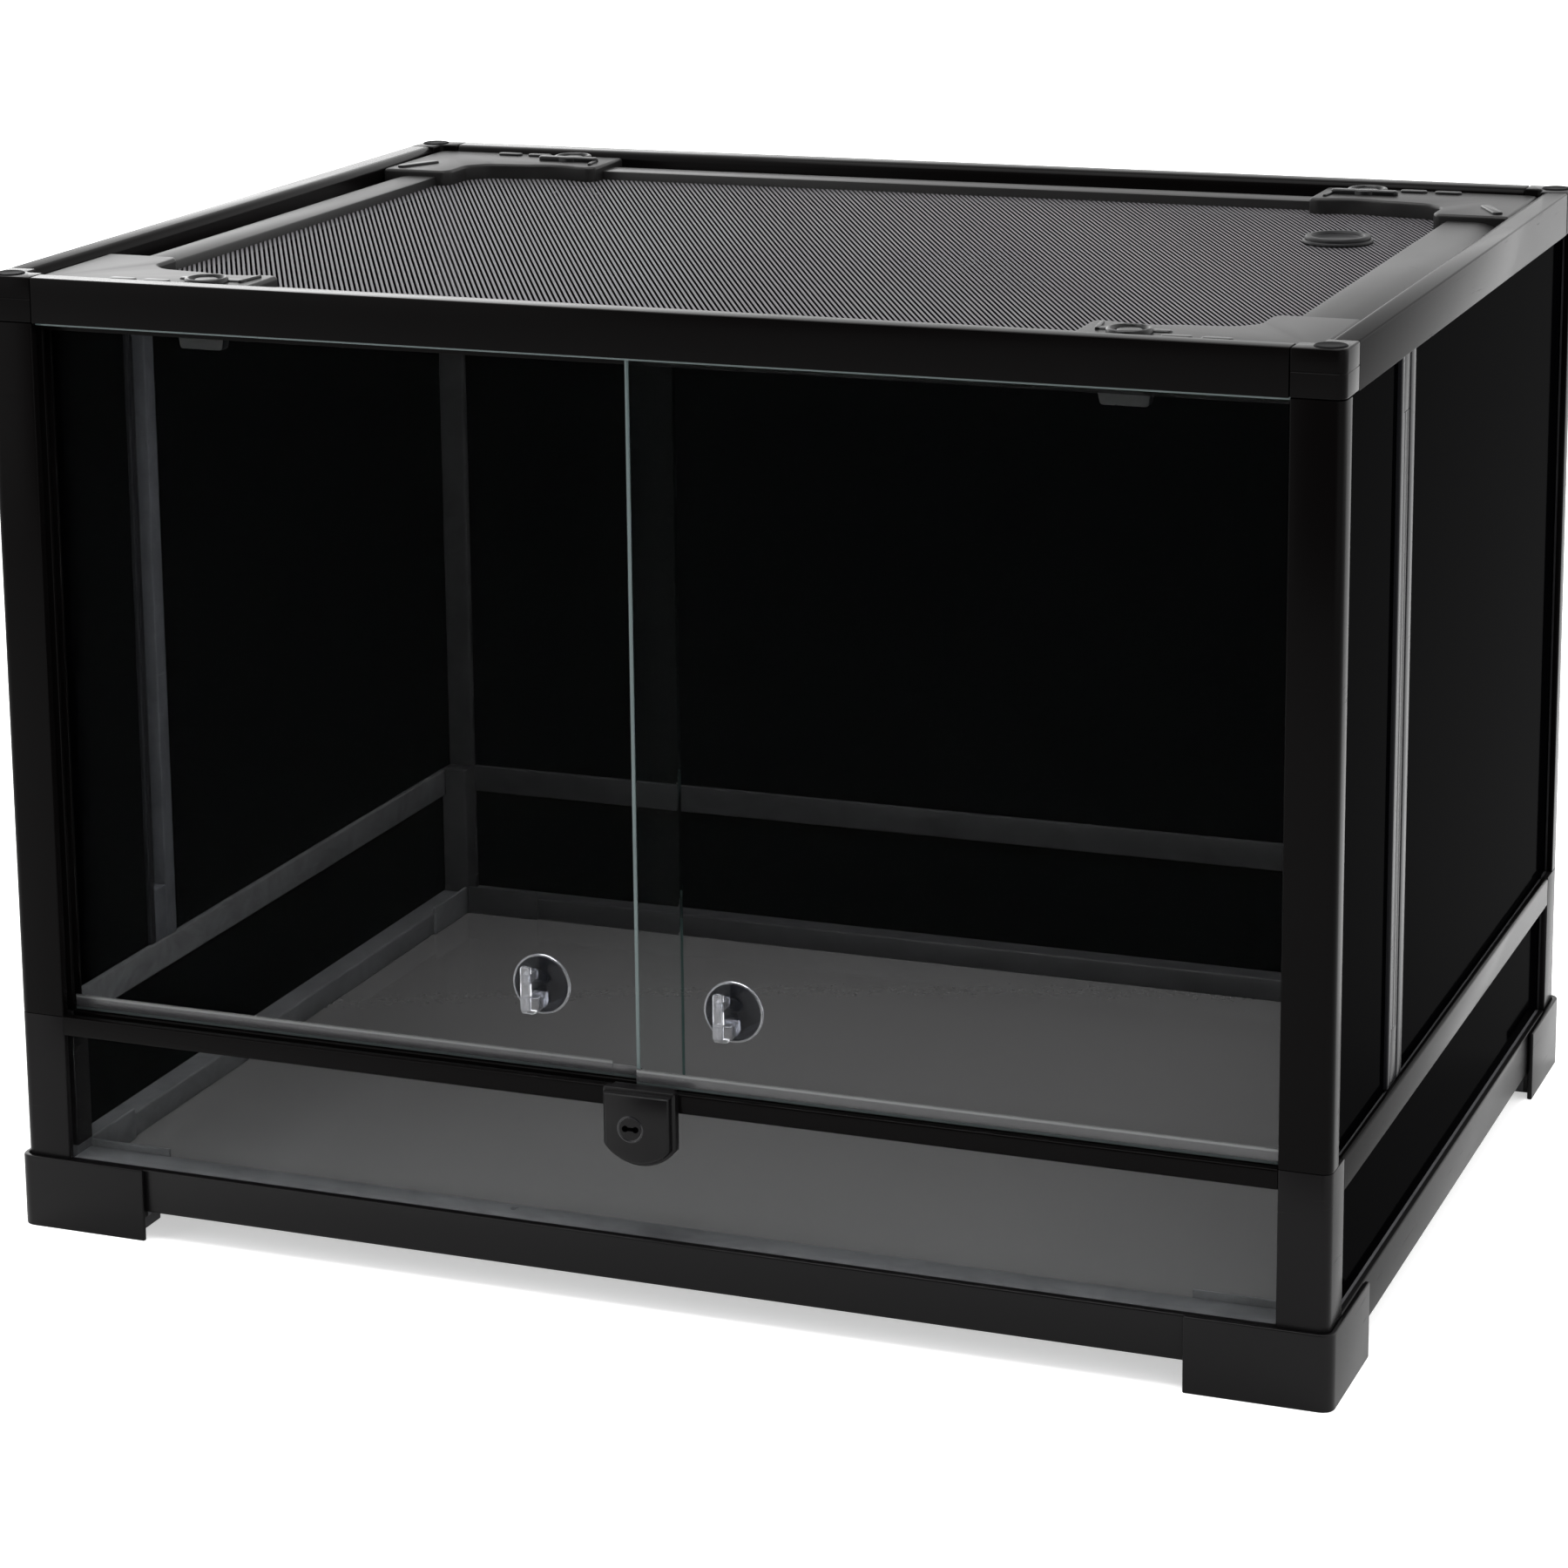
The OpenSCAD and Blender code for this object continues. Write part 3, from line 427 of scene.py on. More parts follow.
def perforated(name, pitch, colour, light, roughness, specular, see_through=False):
    """Perforated sheet. The hole mask is the sum of three cosine waves, 60 degrees apart, cut at a threshold.
    One wave is far stronger than the others, so the holes run together into fine lines. The strands take the
    lighter colour, partly their own dark grey and partly painted sheen, and the holes the darker one."""
    m, n, shader = new_material(name)
    n.surface(n.math("MULTIPLY", n.add("LightPath").outputs["Is Shadow Ray"], 0.8), shader,
              n.add("BsdfTransparent"))
    place, total = n.place(), 0.0
    waves = 2 * math.pi / pitch
    for degrees, weight in ((28.4, 1.75), (88.4, 0.28), (148.4, 0.28)):
        a = math.radians(degrees)
        dot = n.add("VectorMath", {0: place, 1: (waves * math.cos(a), waves * math.sin(a), 0)},
                    operation="DOT_PRODUCT")
        total = n.math("MULTIPLY_ADD", n.math("COSINE", dot.outputs["Value"]), weight, total)
    hole = n.remap(total, -0.3, 0.4, 1.0, 0.0)
    # painted sheen: the strands are lighter than the holes, as they catch the light in lines
    n.feed(shader, {"Base Color": n.blend(hole, colour, light), "Roughness": roughness,
                    "Specular IOR Level": specular})
    if see_through:
        n.feed(shader, {"Alpha": hole})
    n.bump(shader, total, 0.3, 0.0003)
    return m


def acrylic(name, tint, clear, ior):
    """Clear moulded plastic of the suction handles: glass like, tinted, with a slightly uneven surface."""
    m, n, shader = new_material(name)
    n.bump(shader, n.noise(160), 0.2, 0.0004)
    n.feed(shader, {"Base Color": (*tint, 1), "Transmission Weight": clear, "Roughness": 0.03, "IOR": ior})
    return m


def grained(name, colour, grain, roughness, specular, bump=0.0):
    """Rubber or blackened metal: one colour, the moulding group's gloss, and its grain as a bump."""
    m, n, shader = new_material(name)
    mould = n.add("Group", {"Grain": grain, "Roughness": roughness}, node_tree=moulding_group())
    if bump:
        n.bump(shader, mould.outputs["Height"], 0.5, bump)
    n.feed(shader, {"Base Color": (*colour, 1), "Roughness": mould.outputs["Roughness"],
                    "Specular IOR Level": specular})
    return m


MATERIALS = {}


def finish_named(name):
    """A finish by its plain name, made once."""
    if name in MATERIALS:
        return MATERIALS[name]
    look = bpy.context.scene.terrarium
    # painted light: the lighter grey of faces that look into the chamber; the foot and vent plastics give
    # their own as their last value
    painted_inside_light = (0.086, 0.086, 0.091)
    vent = (0.006, 0.006, 0.007)
    makers = {
        "frame_plastic": (plastic, look.frame_colour, 0.2, 900.0, 0.03, painted_inside_light),
        "post_plastic": (plastic, (0.0046, 0.0043, 0.0045), 0.25, 900.0, 0.06, painted_inside_light),
        "foot_plastic": (plastic, look.foot_colour, 0.3, 900.0, 0.11, (0.098, 0.098, 0.104)),
        "vent_plastic": (plastic, vent, 0.24, 900.0, 0.05, (0.056, 0.057, 0.064)),
        "vent_dark": (plastic, vent, 0.24, 900.0, 0.05),
        "lid_plastic": (plastic, look.lid_colour, 0.36, 1200.0, 0.2),
        "corner_plastic": (plastic, (0.006, 0.0058, 0.0058), 0.36, 1200.0, 0.11),
        "latch_plastic": (plastic, (0.003, 0.003, 0.0032), 0.28, 900.0, 0.15),
        "cap_plastic": (plastic, (0.004, 0.004, 0.0042), 0.5, 900.0, 0.01),
        # a thin bead in the sea green of a glass edge, lightened as a painted highlight
        "glass_edge_highlight": (plastic, (0.070, 0.092, 0.092), 0.12, 500.0, 0.3),
        "black_glass": (black_glass,),
        "clear_glass": (clear_glass,),
        "floor_glass": (floor_glass, look.floor_colour),
        "lid_mesh": (perforated, look.mesh_pitch, (0.003, 0.003, 0.0033), (0.050, 0.048, 0.052), 0.6, 0.12,
                     True),
        "vent_mesh": (perforated, look.mesh_pitch, (0.002, 0.002, 0.002), (0.011, 0.011, 0.013), 0.24, 0.05),
        "handle_plastic": (acrylic, look.handle_tint, 0.96, 1.5),
        "cup_plastic": (acrylic, (0.24, 0.25, 0.28), 1.0, 1.18),
        "runner_plastic": (runner_plastic,),
        "rubber": (grained, (0.006, 0.006, 0.0065), 1600, 0.42, 0.1, 0.00004),
        "lock_metal": (grained, (0.007, 0.007, 0.008), 2500, 0.22, 0.25),
    }
    maker, *values = makers[name]
    MATERIALS[name] = maker(name, *values)
    return MATERIALS[name]


def dress_node(node, finish):
    """Gives a carried over node a better finish."""
    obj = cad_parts[node]
    mat = finish_named(finish)
    if not obj.material_slots:
        obj.data.materials.append(mat)
    for s in obj.material_slots:
        s.material = mat


# --- frame members


def top_profile(ledge):
    """Section of a top rail, with or without the lid's ledge: distance in from the outside and height."""
    foot, step, r_low, r_high = (18, 6, 0.5, 0.6) if ledge else (3.2, 6.05, 0.3, 0.2)
    z0, z1 = TOP_Z, TOP_Z + step
    pts = [(0, z0), (foot, z0), (foot, z1), (13, z1), (13, TOP), (0, TOP)]
    return fillet(pts, [0.4, r_low, r_high, 0.4, 4.0, 0.8], 6)


def mid_profile():
    """Section of a middle rail with a groove line on its top."""
    z0, z1 = MID_Z - 14, MID_Z
    groove_z = z1 - 0.9
    pts = [(0, z0), (10.5, z0), (10.5, z1), (6.4, z1), (5.9, groove_z), (3.4, groove_z), (2.9, z1), (0, z1)]
    return fillet(pts, [0.5, 0.5, 0.8, 0.2, 0.2, 0.2, 0.3, 1.5], 5)


def bottom_profile():
    """Section of a bottom rail with a slot for the floor panel."""
    z0, z1 = BASE_Z, BASE_TOP
    slot0, slot1 = z0 + 4.2, z0 + 8.7
    pts = [(0, z0), (20, z0), (20, slot0), (15, slot0), (15, slot1), (20, slot1), (20, z1), (0, z1)]
    return fillet(pts, [1.0, 0.8, 0.3, 0, 0, 0.4, 1.2, 0.9], 5)


def along(profile, side, half, half_w=HALF_W, half_d=HALF_D, bevel=0.35):
    """A member along one side of the enclosure, or of another rectangle. Its profile is distance in and
    height."""
    sign = -1 if side in ("front", "left") else 1
    axis, across = (0, half_d) if side in ("front", "back") else (1, half_w)
    section = np.stack([sign * (across - profile[:, 0]), profile[:, 1]], 1)
    return bar(section, axis, -half, half, bevel)


def half_span(side):
    """Half the length of a side between its corner pieces."""
    return (HALF_W if side in ("front", "back") else HALF_D) - CORNER


def l_plan(arm, deep, r_out, r_in, grow=0.0, tip=0.4):
    """Plan of an L at the front left corner, its arms arm long and deep wide, moved outwards by grow."""
    x0, y0 = -HALF_W - grow, -HALF_D - grow
    pts = [(x0, y0), (x0 + arm, y0), (x0 + arm, y0 + deep), (x0 + deep, y0 + deep), (x0 + deep, y0 + arm),
           (x0, y0 + arm)]
    return fillet(pts, [r_out, tip, tip, r_in, tip, tip], 9)


def build_bottom():
    for side in ("front", "back", "left", "right"):
        make(f"bottom_rail_{side}_moulded", [along(bottom_profile(), side, half_span(side))], "foot_plastic",
             [f"bottom_rail_{side}"])
    for sx, sy, name in CORNERS:
        wall = bar(l_plan(62.5, 2.35, 5.5, 3.5, 2.5, tip=0.8), 2, 0.0, 33.4, bevel=0.7, steps=5)
        tray = bar(l_plan(60.0, 25.5, 3.5, 1.0, 1.0, tip=0.8), 2, 9.7, 12.8, bevel=0.3)
        lips = [bar(fillet(rect(*edges), 0.5, 4), 2, 7.0, 17.0, bevel=0.4)
                for edges in ((-277.5, -204.9, -235.0, -202.2), (-279.9, -202.5, -277.2, -160.0))]
        ribs = [block((x, -224.5, 1.5), (x + 2, -203, 9.9), 0.5, 1) for x in (-262.0, -247.0)]
        ribs += [block((-299.5, y, 1.5), (-278, y + 2, 9.9), 0.5, 0) for y in (-187.0, -172.0)]
        plates = [block((-278.0, -205.0, 21.7), (-238.0, -203.5, 36.0), 0.4, 0),
                  block((-280.0, -203.0, 21.7), (-278.5, -163.0, 36.0), 0.4, 1)]
        make(f"foot_{name}_moulded", mirrored([wall, tray, *lips, *ribs, *plates], -sx, -sy), "foot_plastic",
             [f"foot_{name}"])
    dress_node("floor_panel", "floor_glass")


def post_plan(deep, r_inner, r_side, doors=False):
    """Plan of a post at the front left that reaches deep along the side. It has a groove for each pane, or
    the two door channels in place of the front pane's groove."""
    x0, y0 = -HALF_W, -HALF_D
    wide, groove = x0 + POST, x0 + POST - GROOVE
    side0, side1 = (x0 + d for d in PANE_GROOVE)
    end, cut = y0 + deep, y0 + deep - GROOVE
    pts, radii = [(x0, y0), (wide, y0)], [4.4, 0.8]
    for a, b in np.add(y0, DOOR_CHANNELS if doors else PANE_GROOVE).reshape(-1, 2):
        pts += [(wide, a), (groove, a), (groove, b), (wide, b)]
        radii += [0.5, 0, 0, 0.5]
    if doors:
        pts += [(wide, y0 + TRACK), (x0 + 9.8, y0 + TRACK), (x0 + 9.8, end)]
        radii += [0.5, 0.5, 0.5]
    else:
        pts.append((wide, end))
        radii.append(r_inner)
    pts += [(side1, end), (side1, cut), (side0, cut), (side0, end), (x0, end)]
    return fillet(pts, [*radii, 0.5, 0, 0, 0.5, r_side], 7)


def build_posts():
    low_plan = post_plan(POST, 1.2, 0.8)
    for sx, sy, name in CORNERS:
        plan = post_plan(12.0, 1.5, 0.6, doors=sy < 0)
        upper = bar(plan, 2, MID_Z + JOINT, TOP_Z - JOINT, bevel=0.3)
        make(f"upper_post_{name}_moulded", mirrored([upper], -sx, -sy), "frame_plastic",
             [f"upper_post_{name}"])
        lower = bar(low_plan, 2, BASE_Z + 0.2, MID_Z - JOINT, bevel=0.3)
        make(f"lower_post_{name}_moulded", mirrored([lower], -sx, -sy), "post_plastic",
             [f"lower_post_{name}"])
    for side in ("left", "right", "back"):
        make(f"mid_rail_{side}_moulded", [along(mid_profile(), side, half_span(side))], "frame_plastic",
             [f"mid_rail_{side}"])


def build_tracks():
    half = half_span("front")
    y0, y1 = -HALF_D, -HALF_D + TRACK
    pane0, pane1 = (y0 + d for d in PANE_GROOVE)
    door0, door1, rear0, rear1 = (y0 + d for d in DOOR_CHANNELS)
    top, floor, under, slot = MID_Z, MID_Z - 4.6, MID_Z - 8.7, MID_Z - 6.7
    pts = [(y0, under), (pane0, under), (pane0, slot), (pane1, slot), (pane1, under), (y1, under), (y1, top),
           (rear1, top), (rear1, floor), (rear0, floor), (rear0, top), (door1, top), (door1, floor),
           (door0, floor), (door0, top), (y0, top)]
    radii = [0.6, 0.5, 0, 0, 0.5, 0.6, 0.5, 0.5, 0, 0, 0.5, 0.5, 0, 0, 0.5, 0.9]
    make("door_track_lower_moulded", [bar(fillet(pts, radii, 4), 0, -half, half)], "frame_plastic",
         ["door_track_lower"])
    low, roof, top = TOP_Z, TOP_Z + 4.8, TOP_Z + 6
    pts = [(y0 + 3.25, low), (door0, low), (door0, roof), (door1, roof), (door1, low), (rear0, low),
           (rear0, roof), (rear1, roof), (rear1, low), (y1, low), (y1, top), (y0 + 3.25, top)]
    rib = block((-277.8, -214.9, low - 4.4), (277.8, -214.1, low + 0.2), 0.2, 0)
    make("door_track_upper_moulded", [bar(fillet(pts, 0.3, 3), 0, -half, half), rib], "frame_plastic",
         ["door_track_upper"])
    # painted highlight: a thin sea green bead along the front of the upper track stands for a line of light
    # on the glass edge
    lip = block((-277.8, -221.7, low - 1.3), (277.8, -220.5, low + 0.2), 0.2, 0)
    make("door_track_upper_lip", [lip], "glass_edge_highlight")


def build_top():
    for side in ("front", "back", "left", "right"):
        rail = along(top_profile(ledge=side != "front"), side, half_span(side) - 0.4)
        make(f"top_rail_{side}_moulded", [rail], "frame_plastic", [f"top_rail_{side}"])
    for sx, sy, name in CORNERS:
        shell = bar(l_plan(CORNER, 13, 4.6, 3.0), 2, TOP_Z + JOINT, TOP, bevel=0.8, steps=4,
                    grooves=[(TOP_Z + 10.5, 0.35, 0.12)])
        make(f"top_corner_{name}_moulded", mirrored([shell], -sx, -sy), "frame_plastic",
             [f"top_corner_{name}"])
        cap = spin([(0, -1.5), (6.7, -1.5), (6.7, 0.1), (6.3, 0.5), (5.7, 0.6), (5.2, 0.45), (0, 0.45)],
                   (-292.0, -217.0, TOP), 2, 48)
        make(f"corner_cap_{name}", mirrored([cap], -sx, -sy), "cap_plastic")


def build_vents():
    """Each vent bar has closed ends and a solid strip on both sides of its perforated slot."""
    x0, x1 = -297.8, -290.2
    y0, y1 = -120.5, -95.5
    z0, z1 = MID_Z + 0.3, TOP_Z - 0.3
    slot0, slot1 = -115.5, -104.5
    closed = 25
    for side, sx in (("left", 1), ("right", -1)):
        bits = [block((x0, slot1, z0), (x1, y1, z1), 0.7, 2)]
        bits += [block((x0 + 0.3, slot0 - 0.6, a), (x1 - 0.3, slot1 + 0.6, a + closed), 0.5, 2)
                 for a in (z0, z1 - closed)]
        make(f"vent_bar_{side}_moulded", mirrored(bits, sx), "vent_plastic", [f"vent_bar_{side}"])
        lip = block((x0, y0, z0), (x1, slot0, z1), 0.7, 2)
        make(f"vent_bar_{side}_lip", mirrored([lip], sx), "vent_dark")


def build_glass(strip_h):
    """The clear panes, the strips on the doors' feet, strip_h high, and the black panes' finish."""
    for node in ("lower_glass_back", "lower_glass_left", "lower_glass_right", "side_glass_left_front",
                 "side_glass_left_rear", "side_glass_right_front", "side_glass_right_rear", "back_glass"):
        dress_node(node, "black_glass")
    z0, z1 = MID_Z - 4.3, TOP_Z + 3.5
    sheets = (("door_left", "door_left_body", (-282.6, -213.0, z0), (16.0, -209.0, z1)),
              ("door_right", "door_right_body", (-2.0, -220.0, z0), (282.6, -216.0, z1)),
              ("lower_glass_front", "enclosure", (-282.8, -221.0, 28.2), (282.8, -217.0, 93.6)))
    for node, body, lo, hi in sheets:
        sheet = bar(fillet(rect(*lo[:2], *hi[:2]), 0.6, 3), 2, lo[2], hi[2], bevel=0.5)
        make(f"{node}_sheet", [sheet], "clear_glass", [node], body, smooth=20)
    dress_node("vent_mesh", "vent_mesh")
    strip_z, step, thick = MID_Z + 0.3, 1.6, 0.15
    left_y, right_y, top = -213.6, -220.6, strip_z + strip_h
    left = [block((-277.5, left_y, strip_z), (-16.0, left_y + 0.6, top), thick, 0),
            block((-15.9, left_y, strip_z), (-2.0, left_y + 0.6, top - step), thick, 0)]
    right = [block((-2.0, right_y, strip_z), (277.5, right_y + 0.6, top), thick, 0)]
    make("door_runner_left_strip", left, "runner_plastic", ["door_runner_left"], "door_left_body")
    make("door_runner_right_strip", right, "runner_plastic", ["door_runner_right"], "door_right_body")
    # painted highlight: a thin sea green bead on the right door's left edge, a line of light on the glass
    # edge
    edge = block((-2.05, -220.05, top), (-0.5, -219.2, z1), 0.1, 2)
    make("door_right_edge", [edge], "glass_edge_highlight", body="door_right_body")


# --- handles and lock


def build_handles():
    """Each suction handle: a cup with its rim on the glass, and a finger on a foot and a neck in front."""
    z = 138.5
    for node, body, x, y in (("door_handle_left", "handle_left_body", -48.0, -213.3),
                             ("door_handle_right", "door_right_body", 43.0, -220.3)):
        cup = spin([(0, -0.5), (7.0, -0.45), (11.6, -0.1), (12.4, -0.1), (12.4, -1.2), (11.6, -1.1),
                    (10.8, -0.95), (7.5, -1.2), (3.6, -1.9), (3.0, -2.4), (0, -2.5)], (x, y, z), 1, 64)
        rim = spin([(12.5, 0.0), (13.3, -0.1), (13.4, -0.8), (13.2, -1.4), (12.5, -1.6), (12.5, 0.0)],
                   (x, y, z), 1, 64)
        pts = [(x - 5.2, z - 9.0), (x - 0.6, z - 9.0), (x - 0.8, z + 10.6), (x - 5.0, z + 10.6)]
        finger = bar(fillet(pts, [0.9, 0.9, 0.8, 0.8], 5), 1, y - 12.6, y - 9.6, bevel=0.6, steps=4)
        pts = [(x - 5.2, z - 10.6), (x + 1.4, z - 10.6), (x + 3.4, z - 8.0), (x + 3.2, z - 2.8),
               (x - 5.2, z - 3.2)]
        foot = bar(fillet(pts, [1.2, 1.6, 1.0, 0.9, 0.8], 5), 1, y - 11.8, y - 0.9, bevel=0.8, steps=5)
        neck = bar(fillet(rect(x - 4.6, z + 2.5, x - 1.2, z + 7.0), 0.8, 4), 1, y - 9.8, y - 1.2, bevel=0.3)
        make(f"{node}_clear", [rim, finger, foot, neck], "handle_plastic", [node], body, smooth=50)
        make(f"{node}_cup", [cup], "cup_plastic", body=body, smooth=50)


def build_lock():
    """A housing with square shoulders and a round foot, and a cylinder face with its keyhole."""
    cx, half, top, low, shoulder = 2.4, 16.5, 101.7, 67.7, 83.0
    round_foot = arc(cx, 88.2, 20.4, 216, 324, 15)
    pts = np.concatenate([[(cx + half, top), (cx - half, top), (cx - half, shoulder)], round_foot,
                          [(cx + half, shoulder)]])
    outline = fillet(pts, [1.2, 1.2, 3.0] + [0] * len(round_foot) + [3.0], 4)
    outline[:, 1] = np.maximum(outline[:, 1], low + 0.05)
    rings = []
    for out, d in ((0, 0), (3.6, 0), (4.1, 0.5), (4.4, 1.2), (6.4, 1.5), (7.1, 2.0), (7.6, 3.0)):
        q = inset(outline, d) if d else outline
        rings.append(np.stack([q[:, 0], np.full(len(q), -HALF_D - 0.1 - out), q[:, 1]], 1))
    clip = block((cx - 14.0, -226.0, 98.0), (cx + 14.5, -221.2, 101.6), 0.8, 0)
    make("lock_housing_moulded", [loft(rings), clip], "foot_plastic", ["lock_housing"])
    ax, ay, az, hole, slit, apart = -0.2, -232.5, 85.1, 1.35, 0.75, 2.4
    collar = spin([(0, 0), (6.0, 0), (6.0, -0.25), (5.4, -0.5), (4.9, -0.2), (4.6, 0.15), (0, 0.15)],
                  (ax, ay, az), 1, 48)
    keyhole = [spin([(0, 0), (hole, 0), (hole, -0.45), (0, -0.45)], (ax + x, ay, az), 1, 24)
               for x in (-apart, apart)]
    keyhole.append(block((ax - apart, ay - 0.45, az - slit), (ax + apart, ay - 0.1, az + slit), 0.1, 0))
    make("lock_cylinder_face", [collar], "lock_metal", body="lock_cylinder_body")
    # painted shade: the keyhole is a shallow recess in near black glass, as dark as the shade in a deep hole
    make("lock_keyhole", keyhole, "black_glass", body="lock_cylinder_body")
    dress_node("lock_cylinder", "lock_metal")


# --- lid


def lid_profile(w):
    """Section of a lid rail w wide, with a curved outer half: distance in from its outer edge and height."""
    outer = w * 0.55
    r = w - 3.0
    crown = LID_Z + 8.0
    a = np.linspace(0, math.asin(outer / r), 14)[::-1]
    curve = np.stack([outer - r * np.sin(a), crown - r + r * np.cos(a)], 1)
    return np.concatenate([[(0.6, LID_Z)], curve, [(w - 0.9, crown), (w - 0.2, crown - 0.3), (w, crown - 1.0),
                                                   (w, LID_Z)]])


def build_lid():
    """Rails between the lid's corner pieces. The first rail of each length replaces the node of its pair."""
    half_x, half_y = LID_X - ARM_X, LID_Y - ARM_Y
    for side, width, half, replaced in (("front", 27.0, half_x, ["lid_rail_long"]),
                                        ("left", 29.0, half_y, ["lid_rail_short"]),
                                        ("back", 27.0, half_x, []), ("right", 29.0, half_y, [])):
        rail = along(lid_profile(width), side, half, LID_X, LID_Y, bevel=0.3)
        make(f"lid_rail_{side}_moulded", [rail], "lid_plastic", replaced, "lid")


def build_lid_corners():
    """L-shaped corners of the lid, cut round the latch's dial, with studs in relief."""
    x0, y0 = -LID_X, -LID_Y
    cut = arc(-LATCH_X - x0, 66.0, 32.0, 245, 295, 13)[::-1]
    pts = np.concatenate([[(0, 0), (ARM_X, 0), (ARM_X, 36.0), (98.0, 38.0)], cut,
                          [(56.0, 38.0), (44.0, 40.0), (36.0, 48.0), (36.0, 66.0), (33.0, ARM_Y)],
                          [(0, ARM_Y)]])
    radii = [5.0, 2.0, 1.5, 1.5] + [0] * len(cut) + [3.0, 3.0, 3.0, 2.0, 1.5, 1.5]
    shell = bar(fillet(pts + np.array([x0, y0]), radii, 6), 2, LID_Z, LID_TOP, bevel=1.6, steps=5)
    # each stud's place, half its length, half its width and its turn in degrees
    marks = [(58.5, 6.5, 6.4, 2.4, 0), (42, 6.5, 6.4, 2.4, 0), (95, 23, 8.0, 0.9, 82)]
    back_mark = (11.5, 53, 12.4, 2.4, 117)
    for sx, sy, name in CORNERS:
        make(f"lid_corner_{name}_moulded", mirrored([shell], -sx, -sy), "corner_plastic",
             ["lid_corners"] if (sx, sy) == (-1, -1) else [], "lid")
        studs = []
        for x, y, half, wide, turn in marks + [back_mark] * (sy > 0):
            x, y = x0 + x, y0 + y
            plan = fillet(rect(x - half, y - wide, x + half, y + wide), wide - 0.1, 8)
            stud = bar(plan, 2, LID_TOP - 0.8, LID_TOP + 1.1, bevel=0.6, steps=4)
            studs.append(turned(stud, turn, (x, y, 0.0)))
        make(f"lid_corner_{name}_studs", mirrored(studs, -sx, -sy), "latch_plastic", body="lid")


def build_latches():
    """Each latch: a grip bar and a dial on the lid's corner, and a stem down to the hook under the ledge."""
    cx, cy = -LATCH_X, -LATCH_Y
    dial = spin([(0, -1.6), (9.5, -1.6), (9.5, 1.5), (9.2, 2.0), (8.6, 2.3), (8.0, 2.2), (7.5, 1.6),
                 (7.2, 0.8), (5.4, 0.8), (5.1, 1.3), (4.6, 1.5), (0, 1.5)], (cx, cy, LID_TOP), 2, 56)
    hook_plan = fillet([(cx - 13.5, 414.5), (cx + 13.5, 414.5), (cx + 12.9, 409.4), (cx + 10.9, 409.0),
                        (cx + 10.0, 404.0), (cx - 10.0, 404.0), (cx - 10.9, 409.0), (cx - 12.9, 409.4)],
                       [0.5, 0.5, 0.6, 0.4, 1.2, 1.2, 0.4, 0.6], 4)
    hook = bar(hook_plan, 1, cy - 7.0, cy - 1.0, bevel=0.4, steps=4)
    stem = block((cx - 10, cy - 3.5, 413.5), (cx + 10, cy - 1.0, 431.0), 0.3, 2)
    grip_plan = fillet(rect(cx - 16, cy + 3.5, cx + 16, cy + 8.5), 2.4, 7)
    for sx, sy, name in CORNERS:
        grip_top = LID_TOP + (2.2 if sy > 0 else 0.7)
        grip = bar(grip_plan, 2, LID_TOP - 1.6, grip_top, bevel=0.8, steps=4)
        make(f"latch_{name}_moulded", mirrored([grip, dial, hook, stem], -sx, -sy), "latch_plastic",
             [f"latch_{name}"], f"latch_{name}_body")


def build_mesh():
    """The lid's mesh, and the grommet: a ring with six flaps that meet in its middle."""
    sheet = block((-259.5, -186.5, MESH_Z + 0.6), (259.5, 186.5, MESH_Z + 0.75), 0.05, 2, 2)
    make("lid_mesh_sheet", [sheet], "lid_mesh", ["lid_mesh"], "lid")
    x, y, z = 218.0, 92.0, MESH_Z + 0.9
    ring = spin([(10.0, -2.5), (13.6, -2.5), (14.0, -2.1), (14.0, -1.2), (11.4, -1.0), (11.4, 0.0),
                 (15.6, 0.0), (16.0, 0.4), (15.9, 1.1), (15.5, 1.5), (15.0, 1.6), (14.95, 2.6), (14.5, 3.2),
                 (13.8, 3.4), (12.4, 3.4), (11.9, 3.1), (11.4, 2.0), (10.6, 1.7), (10.0, 1.2)],
                (x, y, z), 2, 72)
    flaps = []
    for start in range(0, 360, 60):
        tip = arc(x, y, 0.5, start + 30, start + 30, 1)
        rim = arc(x, y, 10.2, start + 2.2, start + 57.8, 9)
        flaps.append(bar(np.concatenate([tip, rim]), 2, z - 0.2, z + 0.3, bevel=0.0))
    make("cable_grommet_moulded", [ring, *flaps], "rubber", ["cable_grommet"], "lid")


# --- stage, lights and camera


def area(name, place, aim, size, power):
    """A soft rectangular white lamp at a place, turned to aim at a point."""
    data = bpy.data.lights.new(name, "AREA")
    data.shape = "RECTANGLE"
    data.size, data.size_y = size
    data.energy = power
    obj = bpy.data.objects.new(name, data)
    ahead = np.subtract(aim, place)
    ahead /= np.linalg.norm(ahead)
    right = np.cross(ahead, [0, 0, 1.0] if abs(ahead[2]) < 0.95 else [0, 1.0, 0])
    right /= np.linalg.norm(right)
    obj.matrix_world = facing(right, ahead, place)
    bpy.context.scene.collection.objects.link(obj)


def facing(right, ahead, place):
    """The matrix of a lamp or camera at a place that looks ahead, with its own x to the right."""
    up = np.cross(right, ahead)
    m = Matrix([[right[i], up[i], -ahead[i]] for i in range(3)]).to_4x4()
    m.translation = place
    return m


